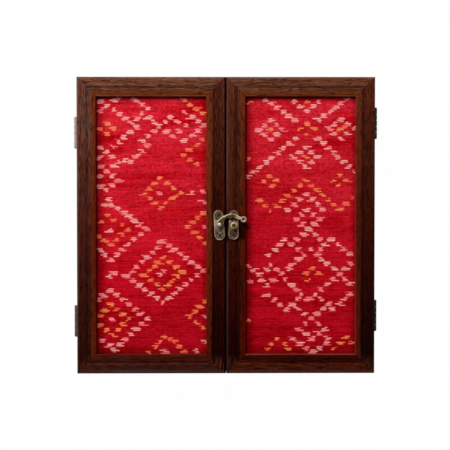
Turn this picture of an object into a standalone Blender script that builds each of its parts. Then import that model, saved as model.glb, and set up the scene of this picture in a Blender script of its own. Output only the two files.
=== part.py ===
"""Double-lid storage box.

A shallow square wooden box with two equal framed lids that meet at the middle.
Each lid is a mitred moulding grooved for a cloth-covered board. The lids turn on two
rolled-knuckle hinges each, nailed to the outer sides, and a swing hook on the
left lid drops behind a knob on the right lid.

The box lies on its base with the lids up: +X is right, +Y is the back, +Z is up.
The origin is at the middle of the underside.
"""
import math

import bmesh
import bpy
from mathutils import Matrix, Vector

# Box body
BOX_WIDTH = 0.2500          # outside, along X
BOX_DEPTH = 0.2490          # outside, along Y
BODY_HEIGHT = 0.0540        # walls, from the underside to their top edge
WALL_THICKNESS = 0.0090
WALL_EDGE_ROUND = 0.0008
BASE_THICKNESS = 0.0040
BASE_REBATE = 0.0045        # how far the base panel reaches into the walls

# Lids
LID_THICKNESS = 0.0160
LID_GAP = 0.0008            # between the two meeting stiles
SEAM_GAP = 0.0003           # between the lids and the walls' top edge
FRAME_WIDTH = 0.0160        # moulding, outer edge to inner edge
OUTER_ROUND = 0.0012        # rounding of the moulding's outer edge
COVE_WIDTH = 0.0036         # shallow scoop beside the bead
COVE_DEPTH = 0.0006
BEAD_WIDTH = 0.0052         # rounded bead along the inner edge
BEAD_STEP = 0.0002          # bead's crown below the frame's face
BEAD_DROP = 0.0014          # how far the bead falls to its inner edge
CLOTH_RECESS = 0.0045       # frame's face down to the cloth
CLOTH_THICKNESS = 0.0006
BOARD_THICKNESS = 0.0030
GROOVE_DEPTH = 0.0050       # into the moulding's inner edge
CLOTH_TUCK = 0.0038         # how far the cloth reaches into the groove

# Joints between pieces
MITRE_GAP = 0.0001
SEAT_GAP = 0.0002           # metal on wood, cloth on board, panel in groove
RUNNING_GAP = 0.0003        # between pieces that move past each other
HOLE_CLEARANCE = 0.0002     # round a nail, pin or rivet

# Hinges
HINGE_LENGTH = 0.0250
HINGE_LEAF_REACH = 0.0100   # pin axis to the leaf's free edge
HINGE_LEAF_THICKNESS = 0.0008
KNUCKLE_RADIUS = 0.0015
KNUCKLE_COUNT = 5
KNUCKLE_ROLL = math.radians(280)
HINGE_PIN_RADIUS = 0.0006
HINGE_PIN_HEAD = 0.0007     # length of each end's head
HINGE_NAIL_SPACING = 0.0155
HINGE_NAIL_OFFSET = 0.0062  # pin axis to the nails
HINGE_PIN_STEP = 0.0002     # straight part of the head before its dome
LEFT_BACK_HINGE_INSET = 0.0465      # each hinge's middle from the box's nearest end
LEFT_FRONT_HINGE_INSET = 0.0430
RIGHT_BACK_HINGE_INSET = 0.0384
RIGHT_FRONT_HINGE_INSET = 0.0474

# Nails
NAIL_SHANK_RADIUS = 0.0006
NAIL_HEAD_RADIUS = 0.0012
NAIL_HEAD_HEIGHT = 0.00045
NAIL_BRIM_SHARE = 0.35      # of the head's height that is its upright brim
NAIL_DOME_SHARES = (0.75, 0.8)      # radius and height where the dome turns over
NAIL_LENGTH = 0.0062        # under the head
NAIL_POINT = 0.0012

# Latch plates: a large and a small lobe joined by straight sides, X measured from the seam
PLATE_THICKNESS = 0.0008
PLATE_RIM_WIDTH = 0.0008
PLATE_RIM_HEIGHT = 0.0004
PLATE_RIM_CHAMFER = 0.0002      # bevel on the rim's outer edge
PLATE_RIM_SLOPE = 0.0003        # width of the rim's inner slope
HOOK_PLATE_UPPER = (-0.00648, 0.00908, 0.00383)    # X, Y, radius
HOOK_PLATE_LOWER = (-0.00521, -0.00782, 0.00440)
CATCH_PLATE_UPPER = (0.00658, 0.00905, 0.00375)
CATCH_PLATE_LOWER = (0.00635, -0.00750, 0.00435)
PLATFORM_HALF_LENGTH = 0.0042   # raised middle of each plate, along Y
PLATFORM_HEIGHT = 0.0003
PLATE_NAIL_LENGTH = 0.0060

# Hook, measured from its pivot
HOOK_PIVOT = (-0.00520, 0.00060)
HOOK_THICKNESS = 0.0016
HOOK_EYE_RADIUS = 0.0026
HOOK_ROUTE = (              # X, Y and half width along the arm
    (0.0000, 0.0000, 0.00240),
    (0.0008, 0.0028, 0.00235),
    (0.0023, 0.0048, 0.00195),
    (0.0041, 0.0064, 0.00155),
    (0.0066, 0.0073, 0.00165),
    (0.0094, 0.0076, 0.00205),
    (0.0125, 0.0073, 0.00195),
    (0.0156, 0.0061, 0.00155),
    (0.0199, 0.0046, 0.00130),
)
HOOK_STEPS = 4              # sections between two points of the route
HOOK_SECTION_POINTS = 12
HOOK_ROUNDING = 0.6         # squareness of the arm's section: 1 is an ellipse, 0 a box
HOOK_BALL_RADIUS = 0.00265  # flattened ball at the arm's free end, dimpled on its face
HOOK_BALL_HEIGHT = 0.0032
HOOK_DIMPLE_RADIUS = 0.0016
HOOK_DIMPLE_DEPTH = 0.0005
HOOK_CLOSED_TURN = math.radians(-26)
RIVET_RADIUS = 0.0010
RIVET_HEAD_RADIUS = 0.0019
RIVET_HEAD_HEIGHT = 0.0010
RIVET_BRIM_SHARE = 0.3      # of the head's height that is its upright brim
RIVET_TAIL_RADIUS = 0.0015
RIVET_TAIL_HEIGHT = 0.0004
RIVET_RELIEF = 0.0003       # room round the rivet's tail in the wood

# Catch post
POST_PLACE = (0.00660, 0.00015)
POST_NECK_RADIUS = 0.0012
POST_HEAD_RADIUS = 0.0029
POST_HEAD_HEIGHT = 0.0017
POST_DIMPLE_RADIUS = 0.0013
POST_DIMPLE_DEPTH = 0.0007
POST_FOOT_RADIUS = 0.0025   # the knob's underside
POST_ROLL_SHARE = 0.6       # of the knob's height that is rounded over
POST_DIMPLE_SHARES = (0.7, 0.8)     # radius and depth where the dimple flattens

# Levels
LID_UNDERSIDE = BODY_HEIGHT + SEAM_GAP
LID_TOP = LID_UNDERSIDE + LID_THICKNESS
HINGE_AXIS_Z = BODY_HEIGHT + SEAM_GAP / 2
HINGE_AXIS_X = BOX_WIDTH / 2 + KNUCKLE_RADIUS + RUNNING_GAP
HINGE_PLACES = {
    ("left", "back"): BOX_DEPTH / 2 - LEFT_BACK_HINGE_INSET,
    ("left", "front"): LEFT_FRONT_HINGE_INSET - BOX_DEPTH / 2,
    ("right", "back"): BOX_DEPTH / 2 - RIGHT_BACK_HINGE_INSET,
    ("right", "front"): RIGHT_FRONT_HINGE_INSET - BOX_DEPTH / 2,
}
LID_WIDTH = (BOX_WIDTH - LID_GAP) / 2
PLATE_UNDERSIDE = LID_TOP + SEAT_GAP
PLATE_FIELD = PLATE_UNDERSIDE + PLATE_THICKNESS
PLATE_RIM_TOP = PLATE_FIELD + PLATE_RIM_HEIGHT
NAIL_HEAD_TOP = PLATE_FIELD + SEAT_GAP + NAIL_HEAD_HEIGHT
HOOK_UNDERSIDE = max(PLATE_RIM_TOP, NAIL_HEAD_TOP) + RUNNING_GAP
HOOK_TOP = HOOK_UNDERSIDE + HOOK_THICKNESS

WOOD_DARK = (0.075, 0.026, 0.013)
WOOD_BODY = (0.060, 0.021, 0.011)
BOARD_GREY = (0.30, 0.24, 0.18)
CLOTH_RED = (0.58, 0.010, 0.028)
ANTIQUE_BRASS = (0.27, 0.21, 0.12)
GOLD_BRASS = (0.55, 0.38, 0.12)


def clear_scene():
    for old in list(bpy.data.objects):
        bpy.data.objects.remove(old, do_unlink=True)


def material(name, colour, roughness, metallic):
    made = bpy.data.materials.new(name)
    made.use_nodes = True
    shader = made.node_tree.nodes["Principled BSDF"]
    shader.inputs["Base Color"].default_value = (*colour, 1.0)
    shader.inputs["Roughness"].default_value = roughness
    shader.inputs["Metallic"].default_value = metallic
    made.diffuse_color = (*colour, 1.0)
    return made


def empty(name, location, parent=None):
    made = bpy.data.objects.new(name, None)
    made.location = location
    if parent is not None:
        made.parent = parent
        made.location = Vector(location) - parent.location
    made.empty_display_size = 0.02
    bpy.context.collection.objects.link(made)
    return made


def add_object(name, mesh, parent, location=(0, 0, 0), turn=0.0, finish=None):
    """Link a mesh as an object; location is in world space and turn is about Z."""
    made = bpy.data.objects.new(name, mesh)
    bpy.context.collection.objects.link(made)
    made.parent = parent
    made.location = Vector(location) - parent.location
    made.rotation_euler = (0.0, 0.0, turn)
    if finish is not None:
        made.material_slots[0].link = "OBJECT"
        made.material_slots[0].material = material(name, *finish)
    return made


def to_mesh(name, bm, sharp_angle=35):
    bmesh.ops.recalc_face_normals(bm, faces=bm.faces)
    mesh = bpy.data.meshes.new(name)
    bm.to_mesh(mesh)
    bm.free()
    mesh.materials.append(None)
    mesh.shade_smooth()
    mesh.set_sharp_from_angle(angle=math.radians(sharp_angle))
    return mesh


def arc(centre, radius, start, end, steps):
    """Points on an arc from angle start to angle end, both included."""
    points = []
    for step in range(steps + 1):
        angle = start + (end - start) * step / steps
        points.append((centre[0] + radius * math.cos(angle), centre[1] + radius * math.sin(angle)))
    return points


def extrude_outline(bm, outline, low, high, plane="XY"):
    """A closed solid of a flat outline, from level low to level high across its plane."""
    level_axis = 2 if plane == "XY" else 1
    verts = []
    for first, second in outline:
        place = [first, second]
        place.insert(level_axis, low)
        verts.append(bm.verts.new(place))
    face = bm.faces.new(verts)
    grown = bmesh.ops.extrude_face_region(bm, geom=[face])
    for item in grown["geom"]:
        if isinstance(item, bmesh.types.BMVert):
            item.co[level_axis] = high
    return [item for item in grown["geom"] if isinstance(item, bmesh.types.BMFace)][0]


def mitred_member(name, profile, outer_length):
    """A moulding run along X with its outer edge on Y = 0, mitred at both ends.

    profile holds (distance in from the outer edge, height) pairs.
    """
    end_gap = MITRE_GAP / math.sqrt(2)
    bm = bmesh.new()
    verts = [bm.verts.new((0.0, inward, height)) for inward, height in profile]
    face = bm.faces.new(verts)
    grown = bmesh.ops.extrude_face_region(bm, geom=[face])
    far_verts = [item for item in grown["geom"] if isinstance(item, bmesh.types.BMVert)]
    half = outer_length / 2
    for vert in verts:
        vert.co.x = -half + vert.co.y + end_gap
    for vert in far_verts:
        vert.co.x = half - vert.co.y - end_gap
    return to_mesh(name, bm)


def turned(name, profile, segments):
    """A solid turned about Z; profile holds (radius, height) pairs from one pole to the other."""
    bm = bmesh.new()
    verts = [bm.verts.new((radius, 0.0, height)) for radius, height in profile]
    edges = [bm.edges.new(pair) for pair in zip(verts, verts[1:])]
    bmesh.ops.spin(bm, geom=verts + edges, cent=(0, 0, 0), axis=(0, 0, 1),
                   angle=2 * math.pi, steps=segments, use_merge=True)
    bmesh.ops.remove_doubles(bm, verts=bm.verts, dist=1e-6)
    return to_mesh(name, bm)


def cylinder_into(bm, base, direction, radius, length, segments=12):
    """Add a closed cylinder that starts at base and runs along direction."""
    direction = Vector(direction).normalized()
    middle = Vector(base) + direction * (length / 2)
    turn = direction.to_track_quat("Z", "Y").to_matrix().to_4x4()
    bmesh.ops.create_cone(bm, cap_ends=True, segments=segments, radius1=radius, radius2=radius,
                          depth=length, matrix=Matrix.Translation(middle) @ turn)


def cutter(name, bm):
    made = bpy.data.objects.new(name, to_mesh(name, bm))
    bpy.context.collection.objects.link(made)
    made.hide_render = True
    made.display_type = "WIRE"
    return made


def add_boolean(target, other, operation):
    modifier = target.modifiers.new(other.name, "BOOLEAN")
    modifier.operation = operation
    modifier.solver = "EXACT"
    modifier.object = other
    return modifier


def drill(target, holes):
    """Cut round holes, each (base, direction, radius, length) in world space."""
    bm = bmesh.new()
    for base, direction, radius, length in holes:
        cylinder_into(bm, base, direction, radius, length)
    add_boolean(target, cutter(target.name + "_drill", bm), "DIFFERENCE")


def shaped_mesh(name, base_mesh, steps):
    """The mesh that a list of (operation, mesh) steps leaves of base_mesh."""
    work = bpy.data.objects.new(name + "_work", base_mesh)
    bpy.context.collection.objects.link(work)
    tools = []
    for number, (operation, mesh) in enumerate(steps):
        tool = bpy.data.objects.new(f"{name}_tool_{number}", mesh)
        bpy.context.collection.objects.link(tool)
        add_boolean(work, tool, operation)
        tools.append(tool)
    bpy.context.view_layer.update()
    evaluated = work.evaluated_get(bpy.context.evaluated_depsgraph_get())
    result = bpy.data.meshes.new_from_object(evaluated)
    result.name = name
    for used in [work, *tools]:
        bpy.data.objects.remove(used, do_unlink=True)
    result.shade_smooth()
    result.set_sharp_from_angle(angle=math.radians(35))
    return result


def box_into(bm, low, high):
    size = Vector(high) - Vector(low)
    middle = (Vector(high) + Vector(low)) / 2
    bmesh.ops.create_cube(bm, size=1.0, matrix=Matrix.LocRotScale(middle, None, size))


def add_slab(name, half_x, half_y, thickness, parent, middle_of_top, finish):
    """A flat panel hung below the middle of its top face."""
    bm = bmesh.new()
    box_into(bm, (-half_x, -half_y, -thickness), (half_x, half_y, 0.0))
    return add_object(name, to_mesh(name, bm), parent, middle_of_top, 0.0, finish)


# Body of the box

def wall_profile():
    """Wall section: outer face first, with a rebate for the base at its inner foot."""
    edge = WALL_EDGE_ROUND
    rebate_top = BASE_THICKNESS + SEAT_GAP
    points = [(0.0, 0.0)]
    points += arc((edge, BODY_HEIGHT - edge), edge, math.pi, math.pi / 2, 3)
    points += arc((WALL_THICKNESS - edge, BODY_HEIGHT - edge), edge, math.pi / 2, 0.0, 3)
    points += [(WALL_THICKNESS, rebate_top), (BASE_REBATE, rebate_top), (BASE_REBATE, 0.0)]
    return points


def build_body(root):
    finish = (WOOD_BODY, 0.45, 0.0)
    long_wall = mitred_member("wall_across", wall_profile(), BOX_WIDTH)
    short_wall = mitred_member("wall_along", wall_profile(), BOX_DEPTH)
    half_x = BOX_WIDTH / 2
    half_y = BOX_DEPTH / 2
    quarter = math.pi / 2
    walls = {
        "front_wall": add_object("front_wall", long_wall, root, (0, -half_y, 0), 0.0, finish),
        "back_wall": add_object("back_wall", long_wall, root, (0, half_y, 0), math.pi, finish),
        "left_wall": add_object("left_wall", short_wall, root, (-half_x, 0, 0), -quarter, finish),
        "right_wall": add_object("right_wall", short_wall, root, (half_x, 0, 0), quarter, finish),
    }
    reach = BASE_REBATE + SEAT_GAP
    add_slab("base_panel", half_x - reach, half_y - reach, BASE_THICKNESS, root,
             (0, 0, BASE_THICKNESS), finish)
    return walls


# Lids

def moulding_profile():
    """Lid moulding section, heights down from the lid's face, with a groove for the board."""
    points = [(0.0, -LID_THICKNESS)]
    points += arc((OUTER_ROUND, -OUTER_ROUND), OUTER_ROUND, math.pi, math.pi / 2, 4)
    cove_start = FRAME_WIDTH - BEAD_WIDTH - COVE_WIDTH
    cove_steps = 8
    for step in range(cove_steps + 1):
        share = step / cove_steps
        dip = COVE_DEPTH * math.sin(math.pi * share) ** 2
        points.append((cove_start + COVE_WIDTH * share, -dip - BEAD_STEP * share))
    bead_start = FRAME_WIDTH - BEAD_WIDTH
    bead_steps = 6
    for step in range(1, bead_steps + 1):
        share = step / bead_steps
        points.append((bead_start + BEAD_WIDTH * share, -BEAD_STEP - BEAD_DROP * share ** 2))
    groove_top = -(CLOTH_RECESS - SEAT_GAP)
    groove_foot = -(CLOTH_RECESS + CLOTH_THICKNESS + BOARD_THICKNESS + 2 * SEAT_GAP)
    groove_back = FRAME_WIDTH - GROOVE_DEPTH
    points += [(FRAME_WIDTH, groove_top), (groove_back, groove_top)]
    points += [(groove_back, groove_foot), (FRAME_WIDTH, groove_foot), (FRAME_WIDTH, -LID_THICKNESS)]
    return points


def build_lid(side, parent):
    """Four mitred members, a board and its cloth; side is left or right."""
    sign = -1 if side == "left" else 1
    middle = sign * (LID_GAP + LID_WIDTH) / 2
    half_x = LID_WIDTH / 2
    half_y = BOX_DEPTH / 2
    quarter = math.pi / 2
    wood = (WOOD_DARK, 0.42, 0.0)
    rail = mitred_member(side + "_rail", moulding_profile(), LID_WIDTH)
    stile = mitred_member(side + "_stile", moulding_profile(), BOX_DEPTH)
    name = side + "_lid_"
    outer = middle + sign * half_x
    inner = middle - sign * half_x
    members = {
        "back_rail": add_object(name + "back_rail", rail, parent, (middle, half_y, LID_TOP), math.pi, wood),
        "front_rail": add_object(name + "front_rail", rail, parent, (middle, -half_y, LID_TOP), 0.0, wood),
        "hinge_stile": add_object(name + "hinge_stile", stile, parent, (outer, 0, LID_TOP),
                                  sign * quarter, wood),
        "meeting_stile": add_object(name + "meeting_stile", stile, parent, (inner, 0, LID_TOP),
                                    -sign * quarter, wood),
    }
    board_reach = FRAME_WIDTH - GROOVE_DEPTH + SEAT_GAP
    cloth_reach = FRAME_WIDTH - CLOTH_TUCK
    cloth_top = LID_TOP - CLOTH_RECESS
    board_top = cloth_top - CLOTH_THICKNESS - SEAT_GAP
    add_slab(name + "board", half_x - board_reach, half_y - board_reach, BOARD_THICKNESS, parent,
             (middle, 0, board_top), (BOARD_GREY, 0.8, 0.0))
    add_slab(name + "cloth", half_x - cloth_reach, half_y - cloth_reach, CLOTH_THICKNESS, parent,
             (middle, 0, cloth_top), (CLOTH_RED, 0.85, 0.0))
    return members


# Hinges, in their own frame: the pin runs along Y through the origin, the wood is towards +X

def knuckle_spans(first):
    """Y spans of every other knuckle, starting with knuckle number first."""
    pitch = (HINGE_LENGTH + RUNNING_GAP) / KNUCKLE_COUNT
    start = -HINGE_LENGTH / 2
    return [(start + pitch * n, start + pitch * (n + 1) - RUNNING_GAP)
            for n in range(first, KNUCKLE_COUNT, 2)]


def leaf_mesh(name, up, own_first):
    """A leaf rolled into knuckles; up is 1 for the lid's leaf and -1 for the body's."""
    sheet_inner = KNUCKLE_RADIUS - HINGE_LEAF_THICKNESS
    free_edge = -HINGE_LEAF_REACH
    outline = [(sheet_inner, free_edge), (KNUCKLE_RADIUS, free_edge)]
    outline += arc((0, 0), KNUCKLE_RADIUS, 0.0, KNUCKLE_ROLL, 16)
    outline += arc((0, 0), sheet_inner, KNUCKLE_ROLL, 0.0, 14)
    outline = [(x, -up * z) for x, z in outline]
    bm = bmesh.new()
    extrude_outline(bm, outline, -HINGE_LENGTH / 2, HINGE_LENGTH / 2, "XZ")
    sheet = to_mesh(name + "_sheet", bm)

    cuts = bmesh.new()
    clear = KNUCKLE_RADIUS + RUNNING_GAP
    for low_y, high_y in knuckle_spans(1 - own_first):
        low_z, high_z = sorted((up * clear, -up * 2 * KNUCKLE_RADIUS))
        box_into(cuts, (-2 * clear, low_y - RUNNING_GAP, low_z), (2 * clear, high_y + RUNNING_GAP, high_z))
    for side in (-1, 1):
        nail_y = side * HINGE_NAIL_SPACING / 2
        cylinder_into(cuts, (-clear, nail_y, up * HINGE_NAIL_OFFSET), (1, 0, 0),
                      NAIL_SHANK_RADIUS + HOLE_CLEARANCE, 3 * clear)
    return shaped_mesh(name, sheet, [("DIFFERENCE", to_mesh(name + "_cuts", cuts))])


def hinge_pin_mesh():
    """A pin with a domed head at each end."""
    head_start = HINGE_LENGTH / 2 + HOLE_CLEARANCE
    dome_height = HINGE_PIN_HEAD - HINGE_PIN_STEP
    dome = [(KNUCKLE_RADIUS * math.cos(a), head_start + HINGE_PIN_STEP + dome_height * math.sin(a))
            for a in (math.radians(30 * n) for n in range(3))]
    upper = [(HINGE_PIN_RADIUS, head_start), (KNUCKLE_RADIUS, head_start), *dome,
             (0.0, head_start + HINGE_PIN_HEAD)]
    lower = [(radius, -height) for radius, height in reversed(upper)]
    return turned("hinge_pin", lower + upper, 12)


def nail_mesh(name, length):
    """A domed nail standing on Z = 0 with its shank below."""
    radius = NAIL_SHANK_RADIUS
    head = NAIL_HEAD_RADIUS
    height = NAIL_HEAD_HEIGHT
    dome_radius, dome_height = NAIL_DOME_SHARES
    profile = [(0.0, -length), (radius, NAIL_POINT - length), (radius, 0.0), (head, 0.0),
               (head, height * NAIL_BRIM_SHARE), (head * dome_radius, height * dome_height), (0.0, height)]
    return turned(name, profile, 12)


def build_hinges(root, lids, walls, lid_members):
    brass = (ANTIQUE_BRASS, 0.4, 1.0)
    body_leaf = leaf_mesh("body_leaf", -1, 0)
    lid_leaf = leaf_mesh("lid_leaf", 1, 1)
    pin = hinge_pin_mesh()
    nail = nail_mesh("leaf_nail", NAIL_LENGTH)
    pilots = {}
    for (side, end), hinge_y in HINGE_PLACES.items():
        sign = -1 if side == "left" else 1
        turn = 0.0 if side == "left" else math.pi
        axis = Vector((sign * HINGE_AXIS_X, hinge_y, HINGE_AXIS_Z))
        name = f"{side}_{end}_hinge_"
        add_object(name + "body_leaf", body_leaf, root, axis, turn, brass)
        add_object(name + "lid_leaf", lid_leaf, lids[side], axis, turn, brass)
        made = add_object(name + "pin", pin, root, axis, 0.0, brass)
        made.rotation_euler = (math.pi / 2, 0.0, 0.0)
        for part, up, parent, wood in (("body", -1, root, walls[side + "_wall"]),
                                       ("lid", 1, lids[side], lid_members[side]["hinge_stile"])):
            for number, along in ((1, -1), (2, 1)):
                head_x = HINGE_AXIS_X - KNUCKLE_RADIUS + HINGE_LEAF_THICKNESS + SEAT_GAP / 2
                place = Vector((sign * head_x, hinge_y + along * HINGE_NAIL_SPACING / 2,
                                HINGE_AXIS_Z + up * HINGE_NAIL_OFFSET))
                made = add_object(f"{name}{part}_nail_{number}", nail, parent, place, 0.0, brass)
                made.rotation_euler = (0.0, sign * math.pi / 2, 0.0)
                mouth = Vector((sign * (BOX_WIDTH / 2 + WALL_EDGE_ROUND), place.y, place.z))
                depth = NAIL_LENGTH + WALL_EDGE_ROUND
                pilots.setdefault(wood.name, (wood, []))[1].append(
                    (mouth, (-sign, 0, 0), NAIL_SHANK_RADIUS + HOLE_CLEARANCE, depth))
    return pilots


# Latch

def two_lobe_outline(first, second, steps=14):
    """The outline round two circles, counter-clockwise."""
    x1, y1, r1 = first
    x2, y2, r2 = second
    along = math.atan2(y2 - y1, x2 - x1)
    spread = math.acos((r1 - r2) / math.hypot(x2 - x1, y2 - y1))
    far = arc((x2, y2), r2, along - spread, along + spread, steps)
    near = arc((x1, y1), r1, along + spread, along - spread + 2 * math.pi, steps)
    return far + near


def plate_mesh(name, upper, lower, platform_y, holes):
    """A stamped plate with a raised rim and a raised middle, its underside on Z = 0."""
    bm = bmesh.new()
    rim_top = PLATE_THICKNESS + PLATE_RIM_HEIGHT
    top = extrude_outline(bm, two_lobe_outline(upper, lower), 0.0, rim_top - PLATE_RIM_CHAMFER)
    flat = PLATE_RIM_WIDTH - PLATE_RIM_CHAMFER
    bmesh.ops.inset_region(bm, faces=[top], thickness=PLATE_RIM_CHAMFER, depth=PLATE_RIM_CHAMFER)
    bmesh.ops.inset_region(bm, faces=[top], thickness=flat, depth=0.0)
    bmesh.ops.inset_region(bm, faces=[top], thickness=PLATE_RIM_SLOPE, depth=-PLATE_RIM_HEIGHT)
    stamped = to_mesh(name + "_stamped", bm)

    platform = bmesh.new()
    share = (platform_y - lower[1]) / (upper[1] - lower[1])
    middle_x = lower[0] + (upper[0] - lower[0]) * share
    half_width = lower[2] + (upper[2] - lower[2]) * share - PLATE_RIM_WIDTH
    box_into(platform, (middle_x - half_width, platform_y - PLATFORM_HALF_LENGTH, PLATE_THICKNESS / 2),
             (middle_x + half_width, platform_y + PLATFORM_HALF_LENGTH, PLATE_THICKNESS + PLATFORM_HEIGHT))

    cuts = bmesh.new()
    for x, y, radius in holes:
        cylinder_into(cuts, (x, y, -rim_top), (0, 0, 1), radius, 3 * rim_top)
    return shaped_mesh(name, stamped, [("UNION", to_mesh(name + "_platform", platform)),
                                       ("DIFFERENCE", to_mesh(name + "_holes", cuts))])


def smooth_route(points, steps):
    """A Catmull-Rom curve through the points, with steps sections between neighbours."""
    ends = [Vector(points[0]) * 2 - Vector(points[1])]
    ends += [Vector(point) for point in points]
    ends += [Vector(points[-1]) * 2 - Vector(points[-2])]
    curve = []
    for a, b, c, d in zip(ends, ends[1:], ends[2:], ends[3:]):
        for step in range(steps):
            t = step / steps
            curve.append(0.5 * (2 * b + (c - a) * t + (2 * a - 5 * b + 4 * c - d) * t ** 2
                                + (3 * b - 3 * c + d - a) * t ** 3))
    curve.append(Vector(points[-1]))
    return curve


def hook_mesh():
    """The hook arm about its pivot: an eye, a rounded curved arm and a ball, underside on Z = 0."""
    middle = HOOK_THICKNESS / 2
    bm = bmesh.new()
    route = smooth_route(HOOK_ROUTE, HOOK_STEPS)
    loops = []
    for number, here in enumerate(route):
        before = route[max(number - 1, 0)]
        after = route[min(number + 1, len(route) - 1)]
        heading = Vector((after.x - before.x, after.y - before.y)).normalized()
        across = Vector((-heading.y, heading.x, 0.0))
        ring = []
        for point in range(HOOK_SECTION_POINTS):
            angle = 2 * math.pi * (point + 0.5) / HOOK_SECTION_POINTS
            side = math.copysign(abs(math.cos(angle)) ** HOOK_ROUNDING, math.cos(angle)) * here.z
            rise = math.copysign(abs(math.sin(angle)) ** HOOK_ROUNDING, math.sin(angle)) * middle
            ring.append(bm.verts.new(Vector((here.x, here.y, middle + rise)) + across * side))
        loops.append(ring)
    for ring, next_ring in zip(loops, loops[1:]):
        for point in range(HOOK_SECTION_POINTS):
            other = (point + 1) % HOOK_SECTION_POINTS
            bm.faces.new((ring[point], ring[other], next_ring[other], next_ring[point]))
    bm.faces.new(loops[0])
    bm.faces.new(loops[-1])
    arm = to_mesh("hook_arm_bar", bm)

    half_height = HOOK_BALL_HEIGHT / 2
    steps = 10
    outline = [(HOOK_BALL_RADIUS * math.cos(a), middle + half_height * math.sin(a))
               for a in (math.pi * (n / steps - 0.5) for n in range(steps))]
    face = [(radius, height) for radius, height in outline if height < middle or radius > HOOK_DIMPLE_RADIUS]
    crown = face[-1][1]
    ball = turned("hook_ball", [(0.0, outline[0][1])] + face[1:]
                  + [(HOOK_DIMPLE_RADIUS, crown), (0.0, crown - HOOK_DIMPLE_DEPTH)], 20)
    ball.transform(Matrix.Translation((HOOK_ROUTE[-1][0], HOOK_ROUTE[-1][1], 0.0)))
    eye = bmesh.new()
    cylinder_into(eye, (0, 0, 0), (0, 0, 1), HOOK_EYE_RADIUS, HOOK_THICKNESS, 24)

    cuts = bmesh.new()
    below = -HOOK_BALL_HEIGHT
    cylinder_into(cuts, (0, 0, below), (0, 0, 1), RIVET_RADIUS + HOLE_CLEARANCE, 3 * HOOK_BALL_HEIGHT, 16)
    neck = Matrix.Rotation(-HOOK_CLOSED_TURN, 3, "Z") @ Vector(
        (POST_PLACE[0] - HOOK_PIVOT[0], POST_PLACE[1] - HOOK_PIVOT[1], below))
    cylinder_into(cuts, neck, (0, 0, 1), POST_NECK_RADIUS + RUNNING_GAP, 3 * HOOK_BALL_HEIGHT, 16)
    return shaped_mesh("hook_arm", arm, [("UNION", ball),
                                         ("UNION", to_mesh("hook_eye", eye)),
                                         ("DIFFERENCE", to_mesh("hook_cuts", cuts))])


def rivet_tail(level):
    """Profile points of a riveted tail below a plate whose underside is at level."""
    low = level - SEAT_GAP - RIVET_TAIL_HEIGHT
    return [(0.0, low), (RIVET_TAIL_RADIUS, low), (RIVET_TAIL_RADIUS, level - SEAT_GAP),
            (RIVET_RADIUS, level - SEAT_GAP)]


def rivet_mesh():
    """The hook's pivot rivet, Z = 0 at the plate's underside."""
    seat = HOOK_TOP + RUNNING_GAP - PLATE_UNDERSIDE
    steps = 4
    brim = seat + RIVET_HEAD_HEIGHT * RIVET_BRIM_SHARE
    dome = [(RIVET_HEAD_RADIUS * math.cos(a), brim + (seat + RIVET_HEAD_HEIGHT - brim) * math.sin(a))
            for a in (math.pi / 2 * n / steps for n in range(steps))]
    profile = rivet_tail(0.0) + [(RIVET_RADIUS, seat), (RIVET_HEAD_RADIUS, seat), *dome,
                                 (0.0, seat + RIVET_HEAD_HEIGHT)]
    return turned("hook_rivet", profile, 16)


def post_mesh():
    """The catch post: tail, collar, neck and a dimpled knob, Z = 0 at the plate's underside."""
    field = PLATE_THICKNESS + PLATFORM_HEIGHT + HOLE_CLEARANCE
    collar_top = HOOK_UNDERSIDE - PLATE_UNDERSIDE - RUNNING_GAP / 2
    seat = HOOK_TOP + RUNNING_GAP - PLATE_UNDERSIDE
    crown = seat + POST_HEAD_HEIGHT
    steps = 6
    lip = [(POST_DIMPLE_RADIUS + (POST_HEAD_RADIUS - POST_DIMPLE_RADIUS) * math.cos(a),
            crown - POST_HEAD_HEIGHT * POST_ROLL_SHARE * (1 - math.sin(a)))
           for a in (math.pi / 2 * n / steps for n in range(steps + 1))]
    flat_radius, flat_depth = POST_DIMPLE_SHARES
    profile = rivet_tail(0.0) + [
        (RIVET_RADIUS, field), (POST_NECK_RADIUS + RUNNING_GAP, field),
        (POST_NECK_RADIUS, collar_top), (POST_NECK_RADIUS, seat),
        (POST_FOOT_RADIUS, seat), *lip,
        (POST_DIMPLE_RADIUS * flat_radius, crown - POST_DIMPLE_DEPTH * flat_depth),
        (0.0, crown - POST_DIMPLE_DEPTH)]
    return turned("catch_post", profile, 24)


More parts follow.
